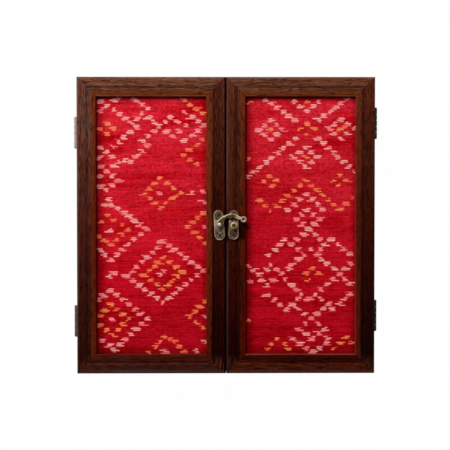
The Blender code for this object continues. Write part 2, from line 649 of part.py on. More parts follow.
def build_latch(lids, lid_members):
    brass = (ANTIQUE_BRASS, 0.38, 1.0)
    gold = (GOLD_BRASS, 0.3, 1.0)
    shank_hole = RIVET_RADIUS + HOLE_CLEARANCE
    nail_hole = NAIL_SHANK_RADIUS + HOLE_CLEARANCE
    nail = nail_mesh("plate_nail", PLATE_NAIL_LENGTH)
    hook_axis = empty("hook_axis", (*HOOK_PIVOT, HOOK_UNDERSIDE), lids["left"])
    arm = add_object("hook_arm", hook_mesh(), hook_axis, (*HOOK_PIVOT, HOOK_UNDERSIDE), 0.0, brass)
    arm.location = (0.0, 0.0, 0.0)

    fittings = (
        ("left", "hook_plate", HOOK_PLATE_UPPER, HOOK_PLATE_LOWER, HOOK_PIVOT, "hook_rivet",
         rivet_mesh(), brass),
        ("right", "catch_plate", CATCH_PLATE_UPPER, CATCH_PLATE_LOWER, POST_PLACE, "catch_post",
         post_mesh(), gold),
    )
    for side, name, upper, lower, stud, stud_name, stud_mesh, stud_finish in fittings:
        nails = {"upper_nail": (upper[0], upper[1]), "lower_nail": (lower[0], lower[1])}
        holes = [(*stud, shank_hole)] + [(*place, nail_hole) for place in nails.values()]
        plate = plate_mesh(name, upper, lower, stud[1], holes)
        add_object(name, plate, lids[side], (0, 0, PLATE_UNDERSIDE), 0.0, brass)
        add_object(stud_name, stud_mesh, lids[side], (*stud, PLATE_UNDERSIDE), 0.0, stud_finish)
        tail_room = SEAT_GAP + RIVET_TAIL_HEIGHT + RIVET_RELIEF
        above = (*stud, LID_TOP + OUTER_ROUND)
        pilots = [(above, (0, 0, -1), RIVET_TAIL_RADIUS + RIVET_RELIEF, OUTER_ROUND + tail_room)]
        for nail_name, place in nails.items():
            nail_place = (*place, PLATE_FIELD + SEAT_GAP / 2)
            add_object(f"{name}_{nail_name}", nail, lids[side], nail_place, 0.0, brass)
            above = (*place, LID_TOP + OUTER_ROUND)
            pilots.append((above, (0, 0, -1), nail_hole, OUTER_ROUND + PLATE_NAIL_LENGTH))
        drill(lid_members[side]["meeting_stile"], pilots)


def main():
    clear_scene()
    root = empty("box", (0, 0, 0))
    lids = {
        "left": empty("left_lid_axis", (-HINGE_AXIS_X, 0, HINGE_AXIS_Z)),
        "right": empty("right_lid_axis", (HINGE_AXIS_X, 0, HINGE_AXIS_Z)),
    }
    walls = build_body(root)
    lid_members = {side: build_lid(side, lids[side]) for side in lids}
    pilots = build_hinges(root, lids, walls, lid_members)
    for wood, holes in pilots.values():
        drill(wood, holes)
    build_latch(lids, lid_members)


main()
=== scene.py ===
"""Looks of the double-lid storage box: stained wood, ikat cloth panels and antiqued brass."""
import math
import random
from functools import partialmethod

import bmesh
import bpy
import numpy as np
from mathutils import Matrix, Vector, noise


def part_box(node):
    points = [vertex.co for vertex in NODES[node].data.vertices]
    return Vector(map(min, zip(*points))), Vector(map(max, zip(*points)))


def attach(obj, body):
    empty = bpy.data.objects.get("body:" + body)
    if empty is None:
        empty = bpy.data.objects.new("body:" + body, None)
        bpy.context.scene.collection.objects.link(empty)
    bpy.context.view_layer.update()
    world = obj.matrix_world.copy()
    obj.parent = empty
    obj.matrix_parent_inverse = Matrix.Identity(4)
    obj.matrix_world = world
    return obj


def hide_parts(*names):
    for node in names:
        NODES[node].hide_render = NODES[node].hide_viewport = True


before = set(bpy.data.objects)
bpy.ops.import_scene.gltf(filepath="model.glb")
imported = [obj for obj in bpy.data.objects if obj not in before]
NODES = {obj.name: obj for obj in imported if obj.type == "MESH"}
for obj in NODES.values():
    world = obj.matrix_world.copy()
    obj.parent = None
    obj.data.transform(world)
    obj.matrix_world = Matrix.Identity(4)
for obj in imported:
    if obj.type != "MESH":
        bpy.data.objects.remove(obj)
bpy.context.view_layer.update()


# Measurements taken from the frame, in metres

LID_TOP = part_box("left_lid_back_rail")[1][2]
LIDS = {}  # each lid's outline: least X and Y, greatest X and Y
for side in ("left", "right"):
    front_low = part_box(f"{side}_lid_front_rail")[0]
    back_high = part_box(f"{side}_lid_back_rail")[1]
    LIDS[side] = (front_low[0], front_low[1], back_high[0], back_high[1])
FRAME_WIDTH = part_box("left_lid_back_rail")[1][1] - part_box("left_lid_back_rail")[0][1]
PLATE_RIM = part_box("hook_plate")[1][2]


class Graph:
    """Short calls that build the node tree of a material or the world."""

    def __init__(self, owner):
        owner.use_nodes = True
        self.owner = owner
        self.tree = owner.node_tree

    def node(self, kind, **settings):
        made = self.tree.nodes.new(kind)
        for key, value in settings.items():
            setattr(made, key, value)
        return made

    def plug(self, socket, value):
        if isinstance(value, bpy.types.NodeSocket):
            self.tree.links.new(value, socket)
        elif value is not None:
            socket.default_value = value

    def math(self, operation, a, b=None, c=None, clamp=False):
        made = self.node("ShaderNodeMath", operation=operation, use_clamp=clamp)
        for socket, value in zip(made.inputs, (a, b, c)):
            self.plug(socket, value)
        return made.outputs[0]

    add = partialmethod(math, "ADD")
    less = partialmethod(math, "SUBTRACT")
    times = partialmethod(math, "MULTIPLY")
    times_plus = partialmethod(math, "MULTIPLY_ADD")
    over = partialmethod(math, "DIVIDE")
    power = partialmethod(math, "POWER")
    least = partialmethod(math, "MINIMUM")
    most = partialmethod(math, "MAXIMUM")
    absolute = partialmethod(math, "ABSOLUTE")

    def vector(self, x, y, z=0.0):
        made = self.node("ShaderNodeCombineXYZ")
        for socket, value in zip(made.inputs, (x, y, z)):
            self.plug(socket, value)
        return made.outputs[0]

    def split(self, vector):
        made = self.node("ShaderNodeSeparateXYZ")
        self.plug(made.inputs[0], vector)
        return made.outputs

    def place(self):
        """The point on the piece, in metres in the box's frame."""
        return self.node("ShaderNodeTexCoord").outputs["Object"]

    def noise(self, vector, scale=None, offset=(0.0, 0.0, 0.0), detail=2.0, roughness=0.5, distortion=0.0):
        """Noise, whose scale is one number or one for each axis."""
        if scale is not None:
            stretched = self.node("ShaderNodeVectorMath", operation="MULTIPLY_ADD")
            scales = scale if isinstance(scale, (tuple, list)) else (scale, scale, scale)
            for socket, value in zip(stretched.inputs, (vector, scales, offset)):
                self.plug(socket, value)
            vector = stretched.outputs[0]
        made = self.node("ShaderNodeTexNoise")
        for key, value in (("Vector", vector), ("Scale", 1.0), ("Detail", detail), ("Roughness", roughness),
                           ("Distortion", distortion)):
            self.plug(made.inputs[key], value)
        return made.outputs["Fac"]

    def white(self, value):
        made = self.node("ShaderNodeTexWhiteNoise", noise_dimensions="1D")
        self.plug(made.inputs["W"], value)
        return made.outputs["Value"]

    def fit(self, value, low, high, new_low=0.0, new_high=1.0, smooth=False):
        """The value carried from low and high to new_low and new_high, and held beyond them."""
        made = self.node("ShaderNodeMapRange", clamp=True)
        if smooth:
            made.interpolation_type = "SMOOTHSTEP"
        for key, number in (("Value", value), ("From Min", low), ("From Max", high), ("To Min", new_low),
                            ("To Max", new_high)):
            self.plug(made.inputs[key], number)
        return made.outputs["Result"]

    def mix(self, share, a, b, blend="MIX"):
        made = self.node("ShaderNodeMix", data_type="RGBA", blend_type=blend)
        self.plug(made.inputs["Factor"], share)
        for key, colour in (("A", a), ("B", b)):
            self.plug(made.inputs[key], (*colour, 1.0) if isinstance(colour, tuple) else colour)
        return made.outputs["Result"]

    def bump(self, height, distance, strength):
        made = self.node("ShaderNodeBump")
        made.inputs["Strength"].default_value = strength
        made.inputs["Distance"].default_value = distance
        self.plug(made.inputs["Height"], height)
        return made.outputs["Normal"]

    def finish(self, colour, roughness, normal=None, metallic=0.0, **fixed):
        """Fills in the shader and returns the material."""
        inputs = self.tree.nodes["Principled BSDF"].inputs
        for key, value in (("Base Color", colour), ("Roughness", roughness), ("Metallic", metallic),
                           ("Normal", normal)):
            self.plug(inputs[key], value)
        for key, value in fixed.items():
            inputs[key.replace("_", " ")].default_value = value
        return self.owner


def material_graph(name):
    return Graph(bpy.data.materials.new(name))


def add_object(name, data):
    made = bpy.data.objects.new(name, data)
    bpy.context.collection.objects.link(made)
    return made


def give(node_name, material):
    """Puts a material on a CAD node."""
    piece = NODES[node_name]
    if not piece.material_slots:
        piece.data.materials.append(None)
    for slot in piece.material_slots:
        slot.link = "OBJECT"
        slot.material = material


# Wood: the lids' tones are placed by their distance from the lid's edge, in metres

WOOD_LIGHT = (0.154, 0.0355, 0.0135)
WOOD_MIDDLE = (0.065, 0.0120, 0.0039)
WOOD_DEEP = (0.0145, 0.0022, 0.0007)
BEAD_TINT = (0.127, 0.0130, 0.0010)
WOOD_FILLER = (0.175, 0.066, 0.040)  # pale filler left in the pores
WOOD_SHEEN = (0.23, 0.17, 0.145)  # greyish painted sheen
LIP_RED = (0.170, 0.0015, 0.0006)  # red on the bead's inner edge beside the cloth
# colour of the dark patches; on the meeting stiles these are painted shade and painted shadows
DARK_PATCH_COLOUR = (0.0030, 0.0006, 0.0002)
FRONT_PALE = (0.072, 0.019, 0.010)  # paler wood on the stiles near their front ends
FRONT_PALE_REACH = (-0.108, -0.116)  # Y where that starts and is full
GREEN_FADE = 1.9  # darker wood is also redder: green and blue fall faster than red
BLUE_FADE = 2.3
HALF_DEPTH = 0.125  # of the box, rounded: its ends, for values that change from front to back
EDGE_WANDER = 0.0014  # how far the limits of the moulding's tones wander
BEAD_LIMITS = (0.0106, 0.0124)  # where the bead's tone starts and is full
COVE_FADES = (0.0018, 0.0016)  # how far the cove's stain fades out on both sides
MITRE_LINE = (0.00045, 0.00010)  # the mitres' fine joint line: where it starts and is full
MITRE_SHADE = 0.40  # and how dark it is
SIDE_TONE = 0.62  # of the lids' sides and undersides
FIGURE_SHARE = 0.40  # of the wood's shade, beside its fibre
CLOUD_SHARE = 0.25
PORE_SHADES = (0.70, 0.75)  # how dark the long and the short pores are
FILLER_SHARE = 0.62
BEAD_CLEANNESS = 0.75  # how much less filler and painted sheen the bead has
FRONT_PALE_SHARE = 0.45
WOOD_RELIEF = 0.00016
TOP_DEPTHS = (0.0030, 0.0020)  # below the lid's face: where the top's stains start and are full
LOWER_DEPTHS = (0.0048, 0.0060)  # and the even tone of the lower parts
SIDE_DEPTHS = (0.0011, 0.0016)  # and that tone on the outer sides
SIDE_RIM = (0.0004, 0.0001)  # how near to the lid's edge a side is
SEAM_REACH = (0.002, 0.004)  # the meeting edges, this near to the seam, don't count as sides


def wood_material(name, along, seed, tones, bead_tones=None, lid=None, sheen=None, cove=None, dark_areas=(),
                  edge_wear_and_sheen=None, lip=None, specular=0.035, length=1.0):
    """Open-pored wood with its grain along axis 0 (X) or 1 (Y), stretched by length. Tones and the greyish
    sheen are for the box's front end, middle and back end; the tones' rise towards the back is painted light,
    and the sheen is a painted sheen. A lid's moulding has more: cove is its stain's share, start and end; a
    list of dark patches gives middle, half size and share, and on the meeting stiles these are painted shade
    and painted shadows; the rounded outer edge has wear and a painted highlight, and the inner edge a lip,
    mostly a painted highlight, each with share, colour, and where it starts and is full."""
    graph = material_graph(name)
    point = graph.place()
    axes = graph.split(point)
    draw = random.Random(seed)
    offset = tuple(draw.uniform(-3.0, 3.0) for _ in range(3))

    def by_depth(front, middle, back):
        """A value that changes evenly from the box's front end to its middle and its back end."""
        behind = graph.fit(axes[1], 0.0, HALF_DEPTH, 0.0, back - middle)
        return graph.add(graph.fit(axes[1], -HALF_DEPTH, 0.0, front, middle), behind)

    def below_top(start, full):
        return graph.fit(axes[2], LID_TOP - start, LID_TOP - full)

    def grain(run, cross, shift=offset, **settings):
        """Noise that varies run times a metre along the grain and cross times across it."""
        scale = [cross, cross, cross]
        scale[along] = run / length
        return graph.noise(point, scale, shift, **settings)

    figure = grain(8.0, 260.0, detail=3.0, roughness=0.6, distortion=0.5)
    cloud = grain(16.0, 55.0)
    fibre = grain(75.0, 1150.0, detail=3.0, roughness=0.75)
    long_pores = graph.fit(grain(90.0, 900.0, detail=1.0), 0.59, 0.67)
    pores = graph.fit(grain(200.0, 1250.0, detail=1.0, roughness=0.4), 0.58, 0.66)
    filler = graph.fit(grain(160.0, 1300.0, offset[::-1], detail=1.0), 0.58, 0.70)
    streak = graph.fit(grain(110.0, 1750.0, offset[::-1], detail=1.0), 0.44, 0.62, 0.0, 2.2)
    shade = graph.times_plus(figure, FIGURE_SHARE, graph.add(fibre, graph.times(cloud, CLOUD_SHARE)))
    colour = graph.mix(graph.fit(shade, 0.60, 1.04), WOOD_MIDDLE, WOOD_LIGHT)
    colour = graph.mix(graph.fit(shade, 0.79, 0.57), colour, WOOD_DEEP)
    pale = 1.0
    if lid is not None:
        edge_x, edge_y = (graph.least(graph.less(axes[k], lid[k]), graph.less(lid[k + 2], axes[k]))
                          for k in (0, 1))
        rim = graph.least(edge_x, edge_y)
        inward = graph.add(rim, graph.times_plus(cloud, EDGE_WANDER, -EDGE_WANDER / 2))
        on_top = below_top(*TOP_DEPTHS)
        side_face = graph.times(graph.fit(rim, *SIDE_RIM), below_top(*SIDE_DEPTHS))
        side_face = graph.times(side_face, graph.fit(graph.absolute(axes[0]), *SEAM_REACH))
        lower = graph.most(side_face, below_top(*LOWER_DEPTHS))
        upper = graph.less(1.0, lower)
        cove_share, cove_start, cove_end = cove
        stain = graph.times(graph.fit(inward, cove_start - COVE_FADES[0], cove_start, smooth=True),
                            graph.fit(inward, cove_end + COVE_FADES[1], cove_end, smooth=True))
        stain = graph.times(stain, on_top)
        colour = graph.mix(graph.times(stain, cove_share), colour, WOOD_DEEP)
        bead = graph.times(graph.fit(inward, *BEAD_LIMITS, smooth=True), on_top)
        tint = graph.times(bead, graph.fit(shade, 0.60, 0.95, 0.15, 0.85))
        colour = graph.mix(tint, colour, BEAD_TINT)
        off_mitre = graph.absolute(graph.less(edge_x, edge_y))
        colour = graph.mix(graph.fit(off_mitre, *MITRE_LINE, 0.0, MITRE_SHADE), colour, WOOD_DEEP)
        pale = graph.times_plus(bead, -BEAD_CLEANNESS, 1.0)
    for depth, share in zip((long_pores, pores), PORE_SHADES):
        colour = graph.mix(graph.times(depth, share), colour, WOOD_DEEP)
    colour = graph.mix(graph.times(graph.times(filler, FILLER_SHARE), pale), colour, WOOD_FILLER)
    # painted light: the tones rise from the front end to the back end, as the light falls on the lids
    red = by_depth(*tones)
    if lid is not None:
        red = graph.add(red, graph.times(bead, graph.less(by_depth(*bead_tones), red)))
        red = graph.add(red, graph.times(lower, graph.less(SIDE_TONE, red)))
        pale = graph.times(pale, upper)
    fade = graph.vector(red, graph.power(red, GREEN_FADE), graph.power(red, BLUE_FADE))
    colour = graph.mix(1.0, colour, fade, "MULTIPLY")
    if sheen is not None:
        # painted sheen: a greyish haze, strongest towards the back and on the left hinge stile
        haze = graph.times(by_depth(*sheen), streak)
        colour = graph.mix(graph.times(haze, pale), colour, WOOD_SHEEN)
    if edge_wear_and_sheen is not None:
        # the rounded outer edge: partly wear, partly a painted highlight where the rounding catches light
        wear_and_sheen_share, wear_and_sheen_colour, wear_and_sheen_start, wear_and_sheen_full = edge_wear_and_sheen
        patchy = graph.noise(point, 30.0, offset, detail=1.0)
        wear_and_sheen = graph.times(graph.fit(inward, wear_and_sheen_start, wear_and_sheen_full), graph.fit(patchy, 0.35, 0.65, 0.5, 1.3))
        wear_and_sheen = graph.times(wear_and_sheen, upper)
        if along == 1:
            wear_and_sheen = graph.times(wear_and_sheen, graph.fit(axes[1], -HALF_DEPTH, 0.0, 0.4, 1.0))
        colour = graph.mix(graph.times(wear_and_sheen, wear_and_sheen_share), colour, wear_and_sheen_colour)
        if along == 1:
            # paler, greyer wood near the stiles' front ends
            near_front = graph.times(graph.fit(axes[1], *FRONT_PALE_REACH, 0.0, FRONT_PALE_SHARE), streak)
            colour = graph.mix(near_front, colour, FRONT_PALE)
    if lip is not None:
        # the inner edge's lip: a painted highlight, except where it is red
        lip_share, lip_colour, lip_start, lip_full = lip
        lip_mask = graph.times(graph.fit(inward, lip_start, lip_full, 0.0, lip_share), upper)
        colour = graph.mix(lip_mask, colour, lip_colour)
    # dark patches: on the meeting stiles painted shade in the seam and painted shadows of the latch
    for middle_x, middle_y, half_x, half_y, share in dark_areas:
        off_x = graph.absolute(graph.over(graph.less(axes[0], middle_x), half_x))
        off_y = graph.absolute(graph.over(graph.less(axes[1], middle_y), half_y))
        patch = graph.fit(graph.most(off_x, off_y), 1.3, 0.8, 0.0, share, smooth=True)
        colour = graph.mix(patch, colour, DARK_PATCH_COLOUR)

    height = graph.less(graph.times(fibre, 0.4), pores)
    height = graph.less(height, graph.times(long_pores, 0.8))
    normal = graph.bump(height, WOOD_RELIEF, 0.7)
    return graph.finish(colour, graph.fit(fibre, 0.3, 0.75, 0.32, 0.46), normal,
                        Specular_IOR_Level=specular)


LID_WOOD_TONES = {  # front end, middle and back end of the flat, and the same of the bead; the rise from front to back, and in part the differences between members, are painted light
    "left_back_rail": ((1.44,) * 3, (1.55,) * 3),
    "left_front_rail": ((0.38,) * 3, (0.46,) * 3),
    "left_hinge_stile": ((0.17, 0.51, 0.94), (0.98, 1.02, 1.50)),
    "left_meeting_stile": ((0.07, 0.38, 0.84), (0.52, 1.05, 1.25)),
    "right_back_rail": ((1.30,) * 3, (1.55,) * 3),
    "right_front_rail": ((0.59,) * 3, (0.31,) * 3),
    "right_hinge_stile": ((0.03, 0.34, 0.75), (0.62, 0.64, 1.15)),
    "right_meeting_stile": ((0.05, 0.48, 0.98), (0.50, 0.86, 1.46)),
}
COVE_STAIN = {  # share of the stain, and where it starts and ends
    "left_back_rail": (0.50, 0.0092, 0.0118), "left_front_rail": (0.0, 0.0095, 0.0115),
    "left_hinge_stile": (0.10, 0.0075, 0.0095), "left_meeting_stile": (0.45, 0.0062, 0.0093),
    "right_back_rail": (0.36, 0.0094, 0.0104), "right_front_rail": (0.10, 0.0095, 0.0115),
    "right_hinge_stile": (0.35, 0.0080, 0.0105), "right_meeting_stile": (0.35, 0.0065, 0.0085),
}
SLIGHT_SHEEN = (0.002, 0.005, 0.014)  # painted sheen at the front end, middle and back end
SHEEN = {  # the same painted sheen where it isn't slight
    "left_hinge_stile": (0.006, 0.030, 0.160), "left_front_rail": (0.034,) * 3,
    "left_back_rail": (0.008,) * 3, "right_back_rail": (0.008,) * 3,
}
EDGE_WEAR_AND_SHEEN = {  # share and colour of the wear and painted highlight on the rounded outer edge, and where it starts and is full
    "left_back_rail": (0.22, WOOD_SHEEN, 0.0026, 0.0006),
    "left_front_rail": (0.80, (0.064, 0.033, 0.031), 0.0042, 0.0010),
    "left_hinge_stile": (0.20, WOOD_SHEEN, 0.0022, 0.0004),
    "left_meeting_stile": (0.01, WOOD_SHEEN, 0.0022, 0.0004),
    "right_back_rail": (0.30, WOOD_SHEEN, 0.0022, 0.0006),
    "right_front_rail": (0.70, (0.060, 0.030, 0.023), 0.0036, 0.0010),
    "right_hinge_stile": (0.01, WOOD_SHEEN, 0.0022, 0.0004),
    "right_meeting_stile": (0.14, WOOD_SHEEN, 0.0022, 0.0004),
}
LIPS = {  # the same of the inner edge: painted highlights, except the red of the left stiles
    "left_hinge_stile": (0.80, LIP_RED, 0.0144, 0.0158),
    "right_meeting_stile": (0.80, LIP_RED, 0.0144, 0.0158),
    "left_back_rail": (0.90, (0.60, 0.19, 0.120), 0.0157, 0.0160),
    "right_back_rail": (0.85, (0.55, 0.17, 0.110), 0.0157, 0.0160),
    "left_front_rail": (0.15, (0.26, 0.070, 0.030), 0.0152, 0.0158),
    "right_front_rail": (0.55, (0.26, 0.080, 0.045), 0.0152, 0.0158),
    "right_hinge_stile": (0.25, (0.30, 0.080, 0.040), 0.0152, 0.0160),
}
DARK_PATCHES = {  # dark patches, middle, half size, share: on the meeting stiles painted shade in the seam and painted shadows of the latch, on the right lid's rails a darker cove
    "left_meeting_stile": ((0.0006, -0.0025, 0.0016, 0.0115, 0.90), (-0.0009, 0.0, 0.0005, 0.1300, 0.80)),
    "right_meeting_stile": ((0.0006, -0.0025, 0.0014, 0.0115, 0.90), (0.0133, -0.0040, 0.0026, 0.0078, 0.85)),
    "right_front_rail": ((0.0780, -0.1145, 0.0400, 0.0018, 0.45),),
    "right_back_rail": ((0.0950, 0.1145, 0.0180, 0.0018, 0.30),),
}
GLOSS = {"back_rail": 0.035, "front_rail": 0.010, "hinge_stile": 0.035, "meeting_stile": 0.018}
LID_SEED = 11  # the first of the lids' mouldings; the others count on
BODY_SEED = 41  # the same of the body
BODY_TONES = (0.58, 0.62, 0.66)
BODY_GRAIN_LENGTH = 2.2

for seed, (key, (tones, bead_tones)) in enumerate(LID_WOOD_TONES.items(), LID_SEED):
    side, part = key.split("_", 1)
    name = f"{side}_lid_{part}"
    along = 0 if "rail" in part else 1
    give(name, wood_material(name + "_wood", along, seed, tones, bead_tones, LIDS[side],
                             SHEEN.get(key, SLIGHT_SHEEN), COVE_STAIN[key], DARK_PATCHES.get(key, ()),
                             EDGE_WEAR_AND_SHEEN[key], LIPS.get(key), GLOSS[part]))
for seed, part in enumerate(("front_wall", "back_wall", "left_wall", "right_wall", "base_panel"), BODY_SEED):
    along = 1 if part in ("left_wall", "right_wall") else 0
    give(part, wood_material(part + "_wood", along, seed, BODY_TONES, length=BODY_GRAIN_LENGTH))


def board_material():
    graph = material_graph("backing_board")
    point = graph.place()
    speckle = graph.noise(point, 900.0, detail=3.0, roughness=0.7)
    fibre = graph.noise(point, (2400.0, 500.0, 2400.0))
    colour = graph.mix(graph.fit(speckle, 0.3, 0.7), (0.20, 0.135, 0.080), (0.33, 0.235, 0.150))
    colour = graph.mix(graph.fit(fibre, 0.5, 0.7, 0.0, 0.4), colour, (0.16, 0.10, 0.06))
    return graph.finish(colour, 0.85, graph.bump(speckle, 0.0001, 0.5))


BOARD = board_material()
for side in LIDS:
    give(f"{side}_lid_board", BOARD)


# Ikat cloth: the dabs' corner points, X and Y in millimetres from the middle of the box

DAB_STEP = 6.1  # distance between dabs along a path
DAB_HALF_WIDTH = 2.20
DAB_HALF_HEIGHT = 1.75
DAB_SLANT = 0.55  # how far a dab's rows shift sideways for each row up
DAB_REACH = 4.0  # the room round a dab is measured up to here
LEFT_PALE = (
    ((-105.1, 103.9), (-100.8, 100.1), (-105.1, 95.4)), ((-93.9, 105.2), (-89.7, 107.0)),
    ((-78.5, 106.1), (-75.1, 104.8), (-65.3, 98.3), (-74.7, 89.7)),
    ((-64.8, 90.7), (-56.2, 83.3), (-46.3, 90.7)),
    ((-40.8, 87.2), (-33.1, 83.8), (-45.1, 74.8), (-50.6, 78.6)),
    ((-60.5, 79.1), (-69.0, 70.9), (-65.6, 67.0), (-79.4, 53.7)),
    ((-93.9, 97.1), (-75.1, 82.5), (-100.0, 61.9), (-90.1, 53.7)), ((-84.6, 54.8),),
    ((-93.9, 49.9), (-99.6, 45.6), (-90.1, 37.8), (-100.0, 29.7)), ((-106.0, 65.3),),
    ((-106.0, 56.7), (-104.7, 49.5)), ((-106.0, 41.3),), ((-105.1, 32.7),),
    ((-34.3, 94.9), (-18.8, 83.8), (-34.3, 71.3)), ((-55.8, 27.1),), ((-29.2, 27.6),), ((-19.3, 28.4),),
    ((-18.8, 19.8),), ((-98.6, 22.0),), ((-101.4, 17.2), (-96.4, 17.2)),
    ((-90.5, 14.2), (-67.4, -2.9), (-96.5, -29.1), (-106.0, -20.9)), ((-97.4, -4.2),), ((-18.2, -1.3),),
    ((-93.9, -40.3),), ((-97.4, -42.8),),
    ((-53.2, -13.6), (-19.3, -38.1), (-53.2, -65.2), (-83.3, -42.8), (-57.9, -18.8)), ((-51.9, -38.5),),
    ((-55.3, -41.5),), ((-103.4, -59.1),),
    ((-97.4, -54.8), (-66.1, -78.5), (-93.9, -105.0), (-104.3, -97.3)), ((-106.8, -62.6),),
    ((-96.5, -79.3),), ((-17.2, -77.1),), ((-51.0, -106.3),), ((-24.9, -105.9),), ((-17.2, -98.2),),
)
LEFT_GOLD = (
    ((-99.6, 85.4), (-105.1, 80.7), (-99.6, 76.9), (-94.4, 81.2)), ((-35.2, 105.2), (-19.3, 94.0)),
    ((-19.3, 72.2), (-35.6, 58.9), (-24.5, 51.6)),
    ((-55.2, 39.9), (-39.0, 27.4), (-55.2, 14.9), (-69.0, 26.7), (-60.0, 35.2)),
    ((-104.7, 3.5), (-99.1, 8.7), (-82.3, -3.4), (-96.5, -16.2), (-106.8, -9.3)),
    ((-18.8, 10.3), (-32.0, -1.3), (-17.2, -15.0)),
    ((-52.7, -26.9), (-36.5, -39.4), (-53.2, -53.6), (-69.0, -42.0), (-57.0, -31.2)),
    ((-102.5, -71.6), (-97.0, -66.9), (-82.3, -78.9), (-94.8, -92.6), (-106.0, -84.0)),
    ((-106.0, -76.3),), ((-17.2, -64.3), (-30.9, -77.1), (-19.8, -86.2)),
    ((-64.3, -107.2), (-51.9, -93.9), (-43.3, -98.1), (-35.6, -106.3)),
)
RIGHT_PALE = (
    ((33.1, 105.6), (58.4, 88.5)), ((57.1, 103.9), (68.2, 96.2), (77.7, 103.9)),
    ((77.7, 88.5), (102.1, 106.1)),
    ((37.3, 88.5), (47.2, 80.7), (37.8, 72.2), (27.5, 79.9), (32.2, 83.8)),
    ((97.0, 88.9), (107.7, 81.6), (96.5, 73.0), (86.3, 81.2), (91.0, 85.0)), ((58.8, 73.0), (18.5, 40.9)),
    ((77.7, 73.0), (107.7, 45.6)), ((67.4, 65.3), (76.8, 57.6), (67.4, 49.5), (56.2, 57.6), (61.8, 61.5)),
    ((51.9, 13.0), (68.2, 26.2), (82.0, 13.4)),
    ((68.2, 13.0), (79.0, 5.2), (69.8, -3.2), (59.6, 4.8), (63.1, 9.1)), ((65.3, -7.7),), ((75.1, -7.7),),
    ((49.4, -11.9), (36.5, -25.2)), ((88.8, -11.9), (104.3, -24.0)),
    ((59.2, -11.9), (55.8, -16.2), (65.3, -24.4), (61.4, -28.7)),
    ((79.4, -11.9), (83.7, -15.8), (76.8, -24.4), (81.1, -28.7)), ((71.7, -20.1),),
    ((18.9, -34.2), (27.9, -41.5)), ((37.3, -33.4), (33.9, -37.3)), ((43.3, -37.3), (46.8, -40.7)),
    ((55.3, -33.4), (52.8, -36.8)), ((20.2, -47.1),), ((29.6, -46.3),), ((39.9, -46.3),),
    ((50.2, -45.8),), ((34.7, -50.5),), ((55.3, -50.5), (63.9, -58.3)), ((34.7, -58.7), (51.0, -71.1)),
    ((55.3, -66.9),), ((60.6, -70.3),), ((61.0, -62.1),), ((70.0, -62.1),), ((80.2, -62.1),),
    ((75.5, -58.3), (95.7, -41.1), (104.3, -49.3)), ((85.4, -32.5), (91.4, -36.4)),
    ((105.1, -32.5), (100.8, -36.4)), ((104.7, -57.9), (96.1, -66.0), (89.7, -70.7)),
    ((86.3, -66.4), (81.6, -70.3)), ((67.4, -75.0),), ((77.7, -74.6),),
    ((72.1, -78.5), (62.7, -87.9), (68.2, -91.8)), ((77.7, -83.2), (83.3, -87.9), (78.5, -91.3)),
    ((57.1, -96.0), (68.2, -104.2), (73.8, -106.7)), ((72.5, -95.6),),
    ((85.4, -95.2), (84.5, -99.5), (79.4, -103.8)),
)
RIGHT_GOLD = (
    ((18.9, 103.0),), ((18.9, 55.8),), ((18.9, -80.1),), ((68.2, 103.9),), ((37.3, 80.7),),
    ((96.2, 80.6), (98.8, 82.8)), ((66.5, 57.6),), ((68.2, 85.4), (73.4, 81.2), (67.8, 76.4), (62.2, 80.7)),
    ((36.9, 41.3), (32.2, 37.0)), ((43.3, 37.8), (38.6, 33.1)), ((95.3, 42.1), (90.2, 37.4)),
    ((101.7, 37.8), (95.3, 33.6)), ((66.9, 37.8), (37.3, 12.1), (29.2, 21.1)),
    ((72.5, 33.6), (96.1, 13.4), (106.9, 23.2)), ((72.9, -36.4), (68.2, -40.7), (70.0, -46.3)),
    ((77.7, -40.3),), ((42.5, -96.0), (34.7, -104.6)), ((49.4, -100.3), (52.4, -104.6)),
    ((102.1, -94.8), (91.8, -104.2)), ((106.9, -99.1),),
)
MOTIFS = {"left": (LEFT_PALE, LEFT_GOLD), "right": (RIGHT_PALE, RIGHT_GOLD)}


def dabs_along(paths):
    """Dab centres at every corner of each path and evenly between them."""
    centres = []
    for path in paths:
        centres.append(path[0])
        for start, end in zip(path, path[1:]):
            steps = max(1, round(math.dist(start, end) / DAB_STEP))
            for step in range(1, steps + 1):
                share = step / steps
                centres.append((start[0] + (end[0] - start[0]) * share,
                                start[1] + (end[1] - start[1]) * share))
    return centres


def dab_field(corners, centres, seed):
    """For each face's corners (faces, 4, 2) in millimetres: room to the left end, the right end and the top
    or bottom of the dab nearest to that face, and the dab's number."""
    draw = np.random.default_rng(seed)
    count = len(centres)
    half_width = DAB_HALF_WIDTH * draw.uniform(0.80, 1.15, count)
    half_height = DAB_HALF_HEIGHT * draw.uniform(0.85, 1.15, count)
    slant = DAB_SLANT * np.where(draw.random(count) < 0.5, -1.0, 1.0) * draw.uniform(0.3, 1.0, count)

    def room(places, number):
        dx = places[..., 0] - centres[number][0]
        dy = places[..., 1] - centres[number][1]
        lean = slant[number] * dy
        return np.stack([half_width[number] + dx + lean, half_width[number] - dx - lean,
                         half_height[number] - np.abs(dy), np.full(dx.shape, float(number))], axis=-1)

    best = np.full(len(corners), -np.inf)
    field = np.empty((*corners.shape[:2], 4))
    middles = corners.mean(axis=1)
    for number in range(count):
        score = room(middles, number)[:, :3].min(axis=1)
        nearer = score > best
        best[nearer] = score[nearer]
        field[nearer] = room(corners[nearer], number)
    field[..., :3] = np.clip(field[..., :3], -DAB_REACH, DAB_REACH)
    return field


CLOTH_PITCH = 0.0008  # side of the sheet's faces
CLOTH_MARGIN = 0.0002  # between the sheet's mean height and the top of the solid that it replaces
CLOTH_THICKNESS = 0.0003
PUCKERS = (  # fine and broad: how often along X and Y, a draw of their own, height
    (26.0, 210.0, 0.0, 0.00016), (14.0, 19.0, 5.0, 0.00012))
PUCKER_LIMIT = 0.00018
PUCKER_FADE = 0.004  # the puckers die out within this distance of the moulding


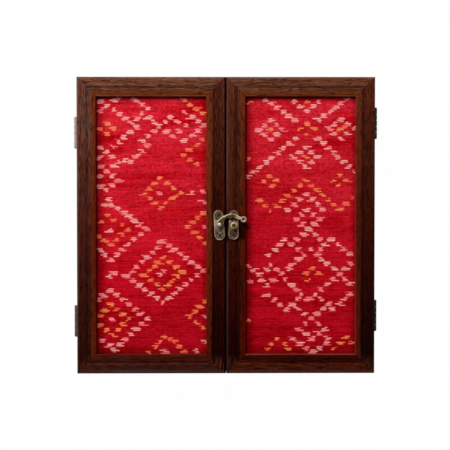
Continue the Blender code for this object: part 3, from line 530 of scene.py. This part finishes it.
def cloth_mesh(side, seed):
    """The stretched cloth, a fine closed sheet with slight puckers, tucked under the moulding."""
    low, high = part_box(f"{side}_lid_cloth")
    columns, rows = (round((high[axis] - low[axis]) / CLOTH_PITCH) for axis in (0, 1))
    grid = np.meshgrid(np.linspace(low[0], high[0], columns + 1), np.linspace(low[1], high[1], rows + 1))
    xs, ys = (part.ravel() for part in grid)
    x0, y0, x1, y1 = LIDS[side]
    edge = np.minimum.reduce([xs - x0, x1 - xs, ys - y0, y1 - ys]) - FRAME_WIDTH
    heights = np.empty(len(xs))
    shift = Vector((seed * 3.1, seed * 1.7, 0.0))
    for number, (x, y) in enumerate(zip(xs, ys)):
        heights[number] = sum(height * noise.noise(Vector((x * often_x, y * often_y, draw)) + shift)
                              for often_x, often_y, draw, height in PUCKERS)
    heights = np.clip(heights, -PUCKER_LIMIT, PUCKER_LIMIT) * np.clip(edge / PUCKER_FADE, 0.0, 1.0)
    verts = np.column_stack([xs, ys, high[2] - CLOTH_MARGIN + heights])
    width = columns + 1
    first = (np.arange(rows)[:, None] * width + np.arange(columns)).ravel()
    faces = np.column_stack([first, first + 1, first + 1 + width, first + width])
    mesh = bpy.data.meshes.new(f"{side}_ikat_cloth")
    mesh.from_pydata(verts.tolist(), [], faces.tolist())
    mesh.validate()
    pale, gold = MOTIFS[side]
    corners = verts[faces, :2] * 1000.0
    for label, paths, draw_seed in (("pale", pale, seed), ("gold", gold, seed + 50)):
        field = dab_field(corners, dabs_along(paths), draw_seed)
        attribute = mesh.attributes.new(label, "FLOAT_COLOR", "CORNER")
        attribute.data.foreach_set("color", field.astype(np.float32).ravel())
    mesh.shade_smooth()
    made = add_object(f"{side}_ikat_cloth", mesh)
    solid = made.modifiers.new("thickness", "SOLIDIFY")
    solid.thickness = CLOTH_THICKNESS
    solid.offset = -1.0
    return made, (high[0] - low[0], high[1] - low[1])


WEFT_PITCH = 0.00130  # one visible thread of the weft
WARP_PITCH = 0.00135
WEFT_SWAY = 0.0016  # how far the weft wanders from straight
WEFT_GAP = 0.76  # painted shade between the threads of the weft, and of the warp: the brightness there
WARP_GAP = 0.82
SLUB_SHARE = 0.62  # of the ground's shade: thick and thin places of the weft
BAND_SHARE = 0.52  # pale and dark bands
ROW_SHARE = 0.09  # the own tone of each weft thread, crossing and warp thread
CROSSING_SHARE = 0.12
WARP_SHARE = 0.03
CLOTH_RELIEF = 0.00018
CLOTH_RED = (0.92, 0.0090, 0.0310)
CLOTH_DEEP = (0.41, 0.0, 0.0005)
# pinkish-white painted sheen on the cloth
CLOTH_SHEEN = (0.68, 0.46, 0.62)
CLOTH_SHEEN_REACH = (-0.04, 0.12)  # Y where the painted sheen starts and is full
CLOTH_SHEEN_SHARE = 0.046
CLOTH_LIGHT_FALLOFF = ((0.60, 0.81, 1.0), (0.62, 0.76, 0.98))  # each lid's painted light fall-off: brightness at the front, middle and back
CLOTH_ENDS = (-0.11, -0.03, 0.11)  # the Y of those three places
BAND_SLANT = 0.10  # how much the cloth's pale and dark bands rise to the right
HALO_SHARE = 0.45  # how much deeper the dye is round a dab, where the threads were tied
PALE_CORE = (1.0, 0.53, 0.51)
PALE_EDGE = (1.0, 0.100, 0.118)
GOLD_CORE = (1.0, 0.345, 0.130)
GOLD_EDGE = (0.97, 0.092, 0.046)
GOLD_SHRINK = (0.22, 0.45)  # how much shorter each lid's gold threads are at each end, in millimetres
THREAD_GREY = (0.66, 0.39, 0.32)  # undyed thread that shows in the middle of some dabs
THREAD_OCHRE = (0.84, 0.31, 0.065)  # the same in gold dabs
THREAD_JAG = 3.0  # how unevenly the dabs' threads end, in millimetres
THREAD_INSET = 1.65  # how far inside the dab's end the shortest ones end
LONG_THREAD = 1.5  # how much further a few threads reach
DAB_SHADE = 0.55  # how much less of the edge's shade the dabs show
DAB_WEAVE = 0.50  # and of the weave's relief
EDGE_SHADE = (  # brightness at the opening's edge, and where the shade starts to fade and is gone
    ("left", 0.40, 0.0012, 0.0095), ("back", 0.38, 0.0006, 0.0086), ("right", 0.62, 0.0006, 0.0052),
    ("front", 0.58, 0.0006, 0.0088))


def cloth_material(seed, lid):
    """Ikat weave. Uneven factors such as 57.31 only give each row, thread and dab a draw of its own."""
    graph = material_graph(f"ikat_cloth_{seed}")
    point = graph.place()
    axes = graph.split(point)
    sway = graph.noise(point, (30.0, 90.0, 1.0), (seed, 0.0, 0.0), detail=1.0)
    across = graph.over(graph.times_plus(sway, WEFT_SWAY, axes[1]), WEFT_PITCH)
    row = graph.math("FLOOR", across)
    thread = graph.math("SINE", graph.times(graph.math("FRACT", across), math.pi))
    row_tone = graph.white(graph.add(row, seed * 7.3))
    along = graph.over(axes[0], WARP_PITCH)
    column = graph.add(along, graph.times(row, 0.5))
    crossing = graph.white(graph.times_plus(row, 57.31, graph.math("FLOOR", column)))
    warp_bulge = graph.math("SINE", graph.times(graph.math("FRACT", column), math.pi))
    warp_tone = graph.white(graph.math("FLOOR", along))
    slub = graph.noise(graph.vector(graph.times(axes[0], 110.0), graph.times(row, 3.7), seed),
                       detail=3.0, roughness=0.65)
    slanted = graph.vector(axes[0], graph.times_plus(axes[0], -BAND_SLANT, axes[1]))
    cloud = graph.noise(slanted, (14.0, 75.0, 1.0), (0.0, seed, 0.0), detail=4.0, roughness=0.6)
    bands = graph.times_plus(row_tone, ROW_SHARE, graph.times(cloud, BAND_SHARE))
    shade = graph.add(graph.times(slub, SLUB_SHARE), bands)
    shade = graph.add(shade, graph.times_plus(crossing, CROSSING_SHARE, -0.11))
    shade = graph.add(shade, graph.times_plus(warp_tone, WARP_SHARE, -0.015))
    red = graph.mix(graph.fit(shade, 0.385, 0.70), CLOTH_DEEP, CLOTH_RED)
    # painted light: the red ground darkens towards the front of each lid
    front, middle, back = CLOTH_LIGHT_FALLOFF[seed - 1]
    light_falloff = graph.add(graph.fit(axes[1], *CLOTH_ENDS[:2], front, middle),
                      graph.fit(axes[1], *CLOTH_ENDS[1:], 0.0, back - middle))
    fade = graph.vector(light_falloff, graph.power(light_falloff, 1.6), graph.power(light_falloff, 1.3))
    colour = graph.mix(1.0, red, fade, "MULTIPLY")

    def dab_masks(label, salt, shrink):
        """How far inside a dab the point is, how pale its thread is, the deeper dye round the dab, and the
        bare threads in its middle. Every thread of the weft starts and ends at its own place."""
        read = graph.node("ShaderNodeAttribute", attribute_name=label)
        left, right, room = graph.split(read.outputs["Vector"])
        number = graph.math("ROUND", read.outputs["Alpha"])
        thread_key = graph.times_plus(number, 3.717, graph.times(row, 1.913))

        def end(side_room, key):
            draw = graph.white(graph.add(thread_key, key))
            long_draw = graph.white(graph.add(thread_key, key + 40.5))
            jag = graph.times_plus(draw, THREAD_JAG, -THREAD_INSET - shrink)
            longer = graph.times(graph.fit(long_draw, 0.70, 0.72), LONG_THREAD)
            return graph.add(side_room, graph.add(jag, longer))

        ends = graph.least(end(left, salt), end(right, salt + 9.1))
        ends = graph.add(ends, graph.times_plus(slub, 0.6, -0.3))
        inside = graph.times(graph.fit(ends, -0.70, 1.05),
                             graph.fit(room, -0.35 + shrink * 0.6, 0.25 + shrink * 0.6))
        own = graph.white(graph.add(number, salt))
        thread_dye = graph.white(graph.add(thread_key, 71.3))
        dye = graph.times_plus(own, 0.45, graph.times(thread_dye, 0.55))
        halo = graph.times(graph.fit(ends, -1.5, -0.3), graph.fit(room, -1.1, -0.2))
        bare = graph.times(graph.fit(own, 0.45, 0.75), graph.fit(ends, 0.4, 1.4))
        return inside, dye, halo, graph.times(bare, graph.fit(room, 0.5, 1.2))

    dabs = 0.0
    for label, salt, edge_colour, core_colour, thread_colour, shrink in (
            ("pale", 3.1, PALE_EDGE, PALE_CORE, THREAD_GREY, 0.0),
            ("gold", 13.7, GOLD_EDGE, GOLD_CORE, THREAD_OCHRE, GOLD_SHRINK[seed - 1])):
        inside, dye, halo, bare = dab_masks(label, salt, shrink)
        colour = graph.mix(graph.times(halo, HALO_SHARE), colour, CLOTH_DEEP)
        fringe = graph.times(graph.fit(inside, 0.02, 0.60, 0.0, 0.95),
                             graph.fit(thread, 0.05, 0.45, 0.45, 1.0))
        colour = graph.mix(fringe, colour, edge_colour)
        core = graph.times(graph.fit(inside, 0.35, 0.95), graph.fit(dye, 0.10, 0.80, 0.20, 1.0))
        core = graph.times(core, graph.fit(thread, 0.35, 0.85))
        colour = graph.mix(core, colour, core_colour)
        bare = graph.times(bare, graph.fit(thread, 0.2, 0.7, 0.0, 0.55))
        colour = graph.mix(bare, colour, thread_colour)
        dabs = graph.most(dabs, fringe)
    # painted sheen: a patchy haze on the cloth, towards the back
    sheen = graph.times(graph.fit(axes[1], *CLOTH_SHEEN_REACH, 0.0, CLOTH_SHEEN_SHARE),
                        graph.fit(cloud, 0.35, 0.65))
    sheen = graph.times(sheen, graph.times_plus(crossing, 1.5, 0.3))
    colour = graph.mix(sheen, colour, CLOTH_SHEEN)
    # painted shade between the threads, and along the opening's edges
    weave = graph.times(graph.fit(thread, 0.0, 0.55, WEFT_GAP, 1.0),
                        graph.fit(warp_bulge, 0.0, 0.6, WARP_GAP, 1.0))
    x0, y0, x1, y1 = lid
    room = {"left": graph.less(axes[0], x0 + FRAME_WIDTH), "right": graph.less(x1 - FRAME_WIDTH, axes[0]),
            "front": graph.less(axes[1], y0 + FRAME_WIDTH), "back": graph.less(y1 - FRAME_WIDTH, axes[1])}
    edge_shade = 1.0
    for edge, least, near, far in EDGE_SHADE:
        edge_shade = graph.times(edge_shade, graph.fit(room[edge], near, far, least, 1.0, smooth=True))
    edge_shade = graph.power(edge_shade, graph.times_plus(dabs, -DAB_SHADE, 1.0))
    weave = graph.power(weave, graph.times_plus(dabs, -DAB_WEAVE, 1.0))
    weave = graph.times(weave, edge_shade)
    pink = graph.power(weave, 1.5)
    colour = graph.mix(1.0, colour, graph.vector(weave, pink, pink), "MULTIPLY")
    height = graph.times_plus(slub, 0.8, graph.times_plus(warp_bulge, 0.35, thread))
    return graph.finish(colour, 0.50, graph.bump(height, CLOTH_RELIEF, 0.7), Specular_IOR_Level=0.008)


for seed, side in enumerate(LIDS, 1):
    cloth, flat = cloth_mesh(side, seed)
    cloth.data.materials.append(cloth_material(seed, LIDS[side]))
    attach(cloth, f"{side}_lid")
    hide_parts(f"{side}_lid_cloth")


# Near-black strip in the seam, on the left lid's meeting edge, as painted shade in the gap, and glue in the
# walls' mitres

SEAM_STRIP_SHARE = 0.7  # of the gap between the lids
SEAM_STRIP_TOP = LID_TOP - 0.0016
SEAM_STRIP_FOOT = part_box("left_lid_meeting_stile")[0][2] + 0.0010
SEAM_STRIP_STEPS = 120
SEAM_STRIP_OUTLINE = (  # out from the edge and up from the foot, as shares
    (0.0, 0.0), (0.6, 0.0), (0.9, 0.03), (1.0, 0.08), (1.0, 0.92), (0.9, 0.97), (0.6, 1.0), (0.0, 1.0))
GLUE_THICKNESS = 0.000098  # in the walls' mitres, which are 0.1 mm wide
GLUE_STEPS = 24
GLUE_START = 0.0010  # from the outer corner, along each wall
GLUE_FOOT = 0.0006  # height of its lower end, beside the base panel
GLUE_INSET = 0.0002  # from the inner corner


def closed_strip(name, rings):
    """A closed mesh through equal rings of points, one after the other."""
    size = len(rings[0])
    last = (len(rings) - 1) * size
    faces = [tuple(range(size)), tuple(last + number for number in reversed(range(size)))]
    for step in range(len(rings) - 1):
        for number in range(size):
            a = step * size + number
            b = step * size + (number + 1) % size
            faces.append((a, a + size, b + size, b))
    mesh = bpy.data.meshes.new(name)
    mesh.from_pydata([point for ring in rings for point in ring], [], faces)
    mesh.validate()
    work = bmesh.new()
    work.from_mesh(mesh)
    bmesh.ops.recalc_face_normals(work, faces=work.faces)
    work.to_mesh(mesh)
    work.free()
    return add_object(name, mesh)


def seam_shade_strip():
    """A strip in the gap between the meeting stiles, slightly uneven along it, near black as painted shade in
    the seam.
    """
    low_y, seam_left, high_y = LIDS["left"][1:]
    thick = (LIDS["right"][0] - seam_left) * SEAM_STRIP_SHARE
    rings = []
    for step in range(SEAM_STRIP_STEPS + 1):
        y = low_y + (high_y - low_y) * step / SEAM_STRIP_STEPS
        wave = 1.0 + 0.12 * noise.noise(Vector((y * 160.0, 3.0, 0.0)))
        lift = 0.0002 * noise.noise(Vector((y * 90.0, 8.0, 0.0)))
        rings.append([(seam_left + thick * min(1.0, out * wave * 0.9), y,
                       SEAM_STRIP_FOOT + (SEAM_STRIP_TOP - SEAM_STRIP_FOOT) * up + (lift if up > 0.5 else 0.0))
                      for out, up in SEAM_STRIP_OUTLINE])
    return closed_strip("dark_seam_strip", rings)


def seam_shade_material():
    graph = material_graph("dark_seam_strip")
    strip_noise = graph.noise(graph.place(), 2600.0, detail=3.0, roughness=0.7)
    # painted shade: near black, so that the seam reads dark
    colour = graph.mix(graph.fit(strip_noise, 0.35, 0.65), (0.0020, 0.0006, 0.0004), (0.0085, 0.0028, 0.0020))
    return graph.finish(colour, 0.95, graph.bump(strip_noise, 0.0002, 0.8), Specular_IOR_Level=0.05)


def glue_line(name, across, along):
    """Glue in the mitre of two walls, from near the outer corner to the inner one; across and along are
    signs."""
    wall_low, wall_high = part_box("left_wall" if across < 0 else "right_wall")
    end_low, end_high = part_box("front_wall" if along < 0 else "back_wall")
    base_low, base_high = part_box("base_panel")
    corner = Vector((wall_low[0] if across < 0 else wall_high[0],
                     end_low[1] if along < 0 else end_high[1], 0.0))
    inward = Vector((-across, -along, 0.0))
    aside = Vector((-along, across, 0.0)).normalized() * GLUE_THICKNESS / 2
    thick = wall_high[0] - wall_low[0]
    rebate = base_low[0] - wall_low[0] if across < 0 else wall_high[0] - base_high[0]
    foot, top = base_high[2] + 0.0004, wall_high[2] - 0.0003
    reaches = [(z, rebate - 2 * GLUE_INSET) for z in (GLUE_FOOT, foot - 0.0003)]
    for step in range(GLUE_STEPS + 1):
        z = foot + (top - foot) * step / GLUE_STEPS
        wave = 0.00025 * noise.noise(Vector((z * 300.0, across * 2.0, along * 3.0)))
        reaches.append((z, thick - GLUE_INSET + wave))
    near = corner + inward * GLUE_START
    rings = []
    for z, reach in reaches:
        far = corner + inward * reach
        rings.append([(*place.xy, z) for place in (near - aside, far - aside, far + aside, near + aside)])
    return closed_strip(name, rings)


def glue_material():
    graph = material_graph("mitre_glue")
    speckle = graph.noise(graph.place(), 900.0)
    return graph.finish(graph.mix(speckle, (0.010, 0.0030, 0.0015), (0.022, 0.0070, 0.0035)), 0.6)


seam_strip = seam_shade_strip()
seam_strip.data.materials.append(seam_shade_material())
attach(seam_strip, "left_lid")

GLUE = glue_material()
for across, along, place in ((-1, -1, "left_front"), (1, -1, "right_front"), (-1, 1, "left_back"),
                             (1, 1, "right_back")):
    line = glue_line(place + "_mitre_glue", across, along)
    line.data.materials.append(GLUE)
    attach(line, "box")


# Brass

PATINA = (0.028, 0.013, 0.005)
BRASS_RUBBED = (0.90, 0.69, 0.46)
# pale, half matt colour of rubbed spots and painted highlights
BRASS_PALE = (0.66, 0.47, 0.34)
CATCH_RUBBED = (0.72, 0.50, 0.30)
HOOK_RUBBED = (0.90, 0.68, 0.40)
KNOB_GOLD = (0.20, 0.105, 0.012)
KNOB_PATINA = (0.045, 0.018, 0.001)
NAIL_PATINA = (0.010, 0.004, 0.002)
RIDGE_LIMITS = (0.00045, 0.0001)  # the raised cross: where its ridges start and are full
RING_HALF = 0.0003  # half the width over which a ring's paler metal sets in
BRASS_RELIEF = 0.00006
PALE_METALLIC = 0.25  # how metallic the palest places are, rubbed spots and painted highlights


def brass_material(name, rubbed, seed, wear_from=None, wear_to=None, polish=0.5, raised_share=0.75,
                   hollow=None, cross=None, glints=0.0, ring=None, metallic=1.0, patina=PATINA, rubs_and_highlights=(),
                   roughness=(0.50, 0.30), oxide=0.30):
    """Antiqued brass: rubbed bright from height wear_from to wear_to, pale and half matt round each listed
    spot (x, y, radius), partly wear and partly a painted highlight, dark in the hollow (x, y, radius), with a
    raised cross at (x, y, reach) where one is given, and with a pale painted highlight outside a ring's
    radius round the hollow. Roughness is for the patina and for rubbed metal, and oxide is how metallic the
    patina is."""
    graph = material_graph(name)
    point = graph.place()
    axes = graph.split(point)
    stain = graph.noise(point, 420.0, (seed, 0.0, 0.0), detail=4.0, roughness=0.65)
    pits = graph.noise(point, 1900.0, (0.0, seed, 0.0))
    wear = graph.fit(stain, 0.35, 0.65, 0.0, polish)
    wear = graph.add(wear, graph.fit(pits, 0.54, 0.66, 0.0, glints), clamp=True)
    height = graph.add(pits, stain)
    pale = 0.0
    raised = 1.0
    if wear_from is not None:
        raised = graph.fit(axes[2], wear_from, wear_to)
        wear = graph.add(wear, graph.times(raised, raised_share), clamp=True)

    def distance(x, y):
        off_x = graph.less(axes[0], x)
        off_y = graph.less(axes[1], y)
        return graph.math("SQRT", graph.add(graph.times(off_x, off_x), graph.times(off_y, off_y)))

    # pale, half matt spots: partly wear, partly painted highlights
    for x, y, radius in rubs_and_highlights:
        pale = graph.add(graph.fit(distance(x, y), radius, radius * 0.5), pale, clamp=True)
    if rubs_and_highlights:
        pale = graph.times(pale, graph.times(raised, graph.fit(pits, 0.35, 0.55, 0.35, 1.0)))
    if cross is not None:
        x, y, reach = cross
        dx = graph.absolute(graph.less(axes[0], x))
        dy = graph.absolute(graph.less(axes[1], y))
        ridge = graph.fit(graph.absolute(graph.less(dx, dy)), *RIDGE_LIMITS)
        ridge = graph.times(ridge, graph.fit(graph.most(dx, dy), reach, reach * 0.8))
        wear = graph.add(wear, graph.times(ridge, 0.6), clamp=True)
        height = graph.times_plus(ridge, 1.5, height)
    if hollow is not None:
        x, y, radius = hollow
        away = distance(x, y)
        outside = graph.fit(away, radius * 0.7, radius * 1.15, 0.12, 1.0)
        wear = graph.times(wear, outside)
        pale = graph.times(pale, outside)
        if ring is not None:
            pale = graph.most(pale, graph.fit(away, ring - RING_HALF, ring + RING_HALF, 0.0, 0.8))
    colour = graph.mix(wear, patina, rubbed)
    colour = graph.mix(graph.fit(stain, 0.58, 0.66, 0.0, 0.6), colour, patina)
    colour = graph.mix(pale, colour, BRASS_PALE)
    metal = graph.times(graph.fit(wear, 0.10, 0.70, oxide, 1.0), metallic)
    metal = graph.times(metal, graph.fit(pale, 0.0, 1.0, 1.0, PALE_METALLIC))
    return graph.finish(colour, graph.fit(wear, 0.0, 1.0, *roughness), graph.bump(height, BRASS_RELIEF, 0.6),
                        metal, Specular_IOR_Level=0.2)


def middle_of(node):
    low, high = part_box(node)
    return (low[0] + high[0]) / 2, (low[1] + high[1]) / 2


ARM_LOW, ARM_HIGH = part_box("hook_arm")
BALL_RADIUS = 0.00265
BALL_X, BALL_Y = ARM_HIGH[0] - BALL_RADIUS, 0.0052
BALL_DIMPLE = 0.0017  # radius
KNOB_DIMPLE = 0.0010
KNOB_RING = 0.0021  # outside this radius the knob's gold is painted pale, a painted highlight ring
RIM_WEAR = (PLATE_RIM - 0.00016, PLATE_RIM - 0.00002)
PLATE_BRASS = brass_material("plate_brass", BRASS_RUBBED, 2, *RIM_WEAR, 0.06,
                             cross=(-0.0051, -0.0064, 0.0026), glints=0.55,
                             rubs_and_highlights=((-0.0098, 0.0026, 0.0044), (-0.0058, -0.0121, 0.0032)))
CATCH_BRASS = brass_material("catch_plate_brass", CATCH_RUBBED, 4, *RIM_WEAR, 0.06, raised_share=0.50,
                             glints=0.45, rubs_and_highlights=((0.0030, 0.0034, 0.0016), (0.0084, -0.0100, 0.0024)))
NAIL_BRASS = brass_material("nail_brass", BRASS_RUBBED, 3, polish=0.02, patina=NAIL_PATINA)
# the hook's pale spots at the ball, the arm's right end and the pivot are painted highlights
HOOK_BRASS = brass_material("hook_brass", HOOK_RUBBED, 5, ARM_LOW[2] + 0.0004, ARM_LOW[2] + 0.0010,
                            0.62, 0.12, hollow=(BALL_X, BALL_Y, BALL_DIMPLE), roughness=(0.36, 0.28),
                            oxide=1.0, rubs_and_highlights=((BALL_X, BALL_Y, 0.0056), (0.0112, 0.0078, 0.0042),
                                             (-0.0058, 0.0010, 0.0020)))
KNOB_BRASS = brass_material("knob_brass", KNOB_GOLD, 7, 0.0, 0.001, raised_share=0.6,
                            hollow=(*middle_of("catch_post"), KNOB_DIMPLE), ring=KNOB_RING,
                            roughness=(0.55, 0.50), metallic=0.25, patina=KNOB_PATINA)
HINGE_FINISHES_AND_LIGHT = {  # rubbed colour, patina and polish, paler towards the left and the back as painted light
    "left_back": ((0.43, 0.355, 0.30), (0.26, 0.205, 0.165), 0.9),
    "left_front": ((0.125, 0.090, 0.073), (0.070, 0.049, 0.040), 0.8),
    "right_back": ((0.120, 0.073, 0.056), (0.060, 0.035, 0.027), 0.6),
    "right_front": ((0.060, 0.041, 0.035), (0.020, 0.013, 0.011), 0.5),
}
# painted light: the hinges are lit and shaded copies of one brass
for number, (place, (rubbed, patina, polish)) in enumerate(HINGE_FINISHES_AND_LIGHT.items()):
    hinge_brass = brass_material(place + "_hinge_brass", rubbed, 9 + 4 * number, polish=polish, metallic=0.4,
                                 patina=patina)
    for name in NODES:
        if name.startswith(place + "_hinge_"):
            give(name, hinge_brass)
for name, plate_brass in (("hook_plate", PLATE_BRASS), ("catch_plate", CATCH_BRASS)):
    give(name, plate_brass)
    for place in ("upper", "lower"):
        give(f"{name}_{place}_nail", NAIL_BRASS)
for name in ("hook_arm", "hook_rivet"):
    give(name, HOOK_BRASS)
give("catch_post", KNOB_BRASS)


# Floor, light and camera

WHITE = (1.0, 1.0, 1.0, 1.0)
PAPER = (0.86, 0.86, 0.86, 1.0)
PAPER_GLOW = 0.99  # how much of the paper's white is its own, as the camera sees it
WORLD_LEVEL = 0.03
TENT_LEVEL = 1.8
TENT_OPENING = 0.85  # the tent is open overhead above this height, of 1
TENT_FADE = 0.35
FLOOR_HALF = 4.0
FLOOR_DROP = 0.0005
LIGHT_TARGET = Vector((0.0, 0.0, 0.05))
PHOTO_PIXELS = 450
PHOTO_SCALE = 0.000838  # metres a pixel at the lids' face
BOX_MIDDLE_PIXEL = (225.97, 225.60)
CAMERA_HEIGHT = 1.4
CAMERA_OFFSET = (-0.022, 0.053)
SENSOR = 36.0


def stage_material():
    """White paper: pure white to the camera, with a light contact shadow kept."""
    graph = material_graph("white_paper")
    graph.tree.nodes.clear()
    paths = graph.node("ShaderNodeLightPath").outputs
    paper = graph.node("ShaderNodeBsdfDiffuse")
    paper.inputs["Color"].default_value = PAPER
    glow = graph.node("ShaderNodeEmission")
    glow.inputs["Color"].default_value = WHITE
    glow.inputs["Strength"].default_value = 1.0
    seen = graph.most(paths["Is Camera Ray"], paths["Is Glossy Ray"])
    seen = graph.most(seen, paths["Is Transmission Ray"])
    mixer = graph.node("ShaderNodeMixShader")
    output = graph.node("ShaderNodeOutputMaterial")
    share = graph.times(seen, PAPER_GLOW)
    for socket, value in zip(mixer.inputs, (share, paper.outputs[0], glow.outputs[0])):
        graph.plug(socket, value)
    graph.plug(output.inputs["Surface"], mixer.outputs[0])
    return graph.owner


def add_floor():
    mesh = bpy.data.meshes.new("floor")
    mesh.from_pydata([(x * FLOOR_HALF, y * FLOOR_HALF, 0) for x, y in ((-1, -1), (1, -1), (1, 1), (-1, 1))],
                     [], [(0, 1, 2, 3)])
    mesh.materials.append(stage_material())
    floor = add_object("floor", mesh)
    floor.location.z = -FLOOR_DROP


def add_light(name, place, size, power):
    lamp = bpy.data.lights.new(name, "AREA")
    lamp.shape = "RECTANGLE"
    lamp.size, lamp.size_y = size
    lamp.energy = power
    made = add_object(name, lamp)
    made.location = place
    made.rotation_euler = (LIGHT_TARGET - Vector(place)).to_track_quat("-Z", "Y").to_euler()


def set_world():
    """White to the camera, faint as a light, and in reflections a white tent, open overhead."""
    world = bpy.data.worlds.new("studio")
    bpy.context.scene.world = world
    graph = Graph(world)
    background = graph.tree.nodes["Background"]
    background.inputs["Color"].default_value = WHITE
    paths = graph.node("ShaderNodeLightPath").outputs
    axes = graph.split(graph.node("ShaderNodeTexCoord").outputs["Generated"])
    wall = graph.fit(axes["Z"], TENT_OPENING, TENT_OPENING - TENT_FADE, 0.0, TENT_LEVEL)
    side = graph.times(graph.fit(axes["X"], -0.7, 0.7, 1.0, 0.35), graph.fit(axes["Y"], -0.6, 0.5, 0.30, 1.0))
    tent = graph.times(graph.times(wall, side), paths["Is Glossy Ray"])
    level = graph.fit(paths["Is Camera Ray"], 0.0, 1.0, WORLD_LEVEL, 1.0)
    graph.plug(background.inputs["Strength"], graph.add(level, tent))


def add_camera():
    """Nearly straight above the lids, with the box where the photo has it."""
    data = bpy.data.cameras.new("camera")
    data.sensor_width = SENSOR
    data.lens = SENSOR * CAMERA_HEIGHT / (PHOTO_PIXELS * PHOTO_SCALE)
    camera = add_object("camera", data)
    camera.location = (*CAMERA_OFFSET, LID_TOP + CAMERA_HEIGHT)
    centre_pixel = PHOTO_PIXELS / 2
    aim = Vector(((centre_pixel - BOX_MIDDLE_PIXEL[0]) * PHOTO_SCALE,
                  (BOX_MIDDLE_PIXEL[1] - centre_pixel) * PHOTO_SCALE, LID_TOP))
    heading = aim - camera.location
    tilt_x = math.atan2(heading.y, -heading.z)
    tilt_y = math.atan2(-heading.x, math.hypot(heading.y, heading.z))
    camera.rotation_euler = (tilt_x, tilt_y, 0.0)
    bpy.context.scene.camera = camera


add_floor()
set_world()
add_light("key", (-0.60, 1.24, 1.44), (0.8, 0.6), 43.0)
add_light("left strip", (-0.75, 0.10, 0.28), (0.5, 0.12), 1.6)
add_light("right strip", (0.80, 0.0, 0.30), (0.5, 0.12), 0.9)
add_camera()
bpy.context.scene.view_settings.view_transform = "Standard"
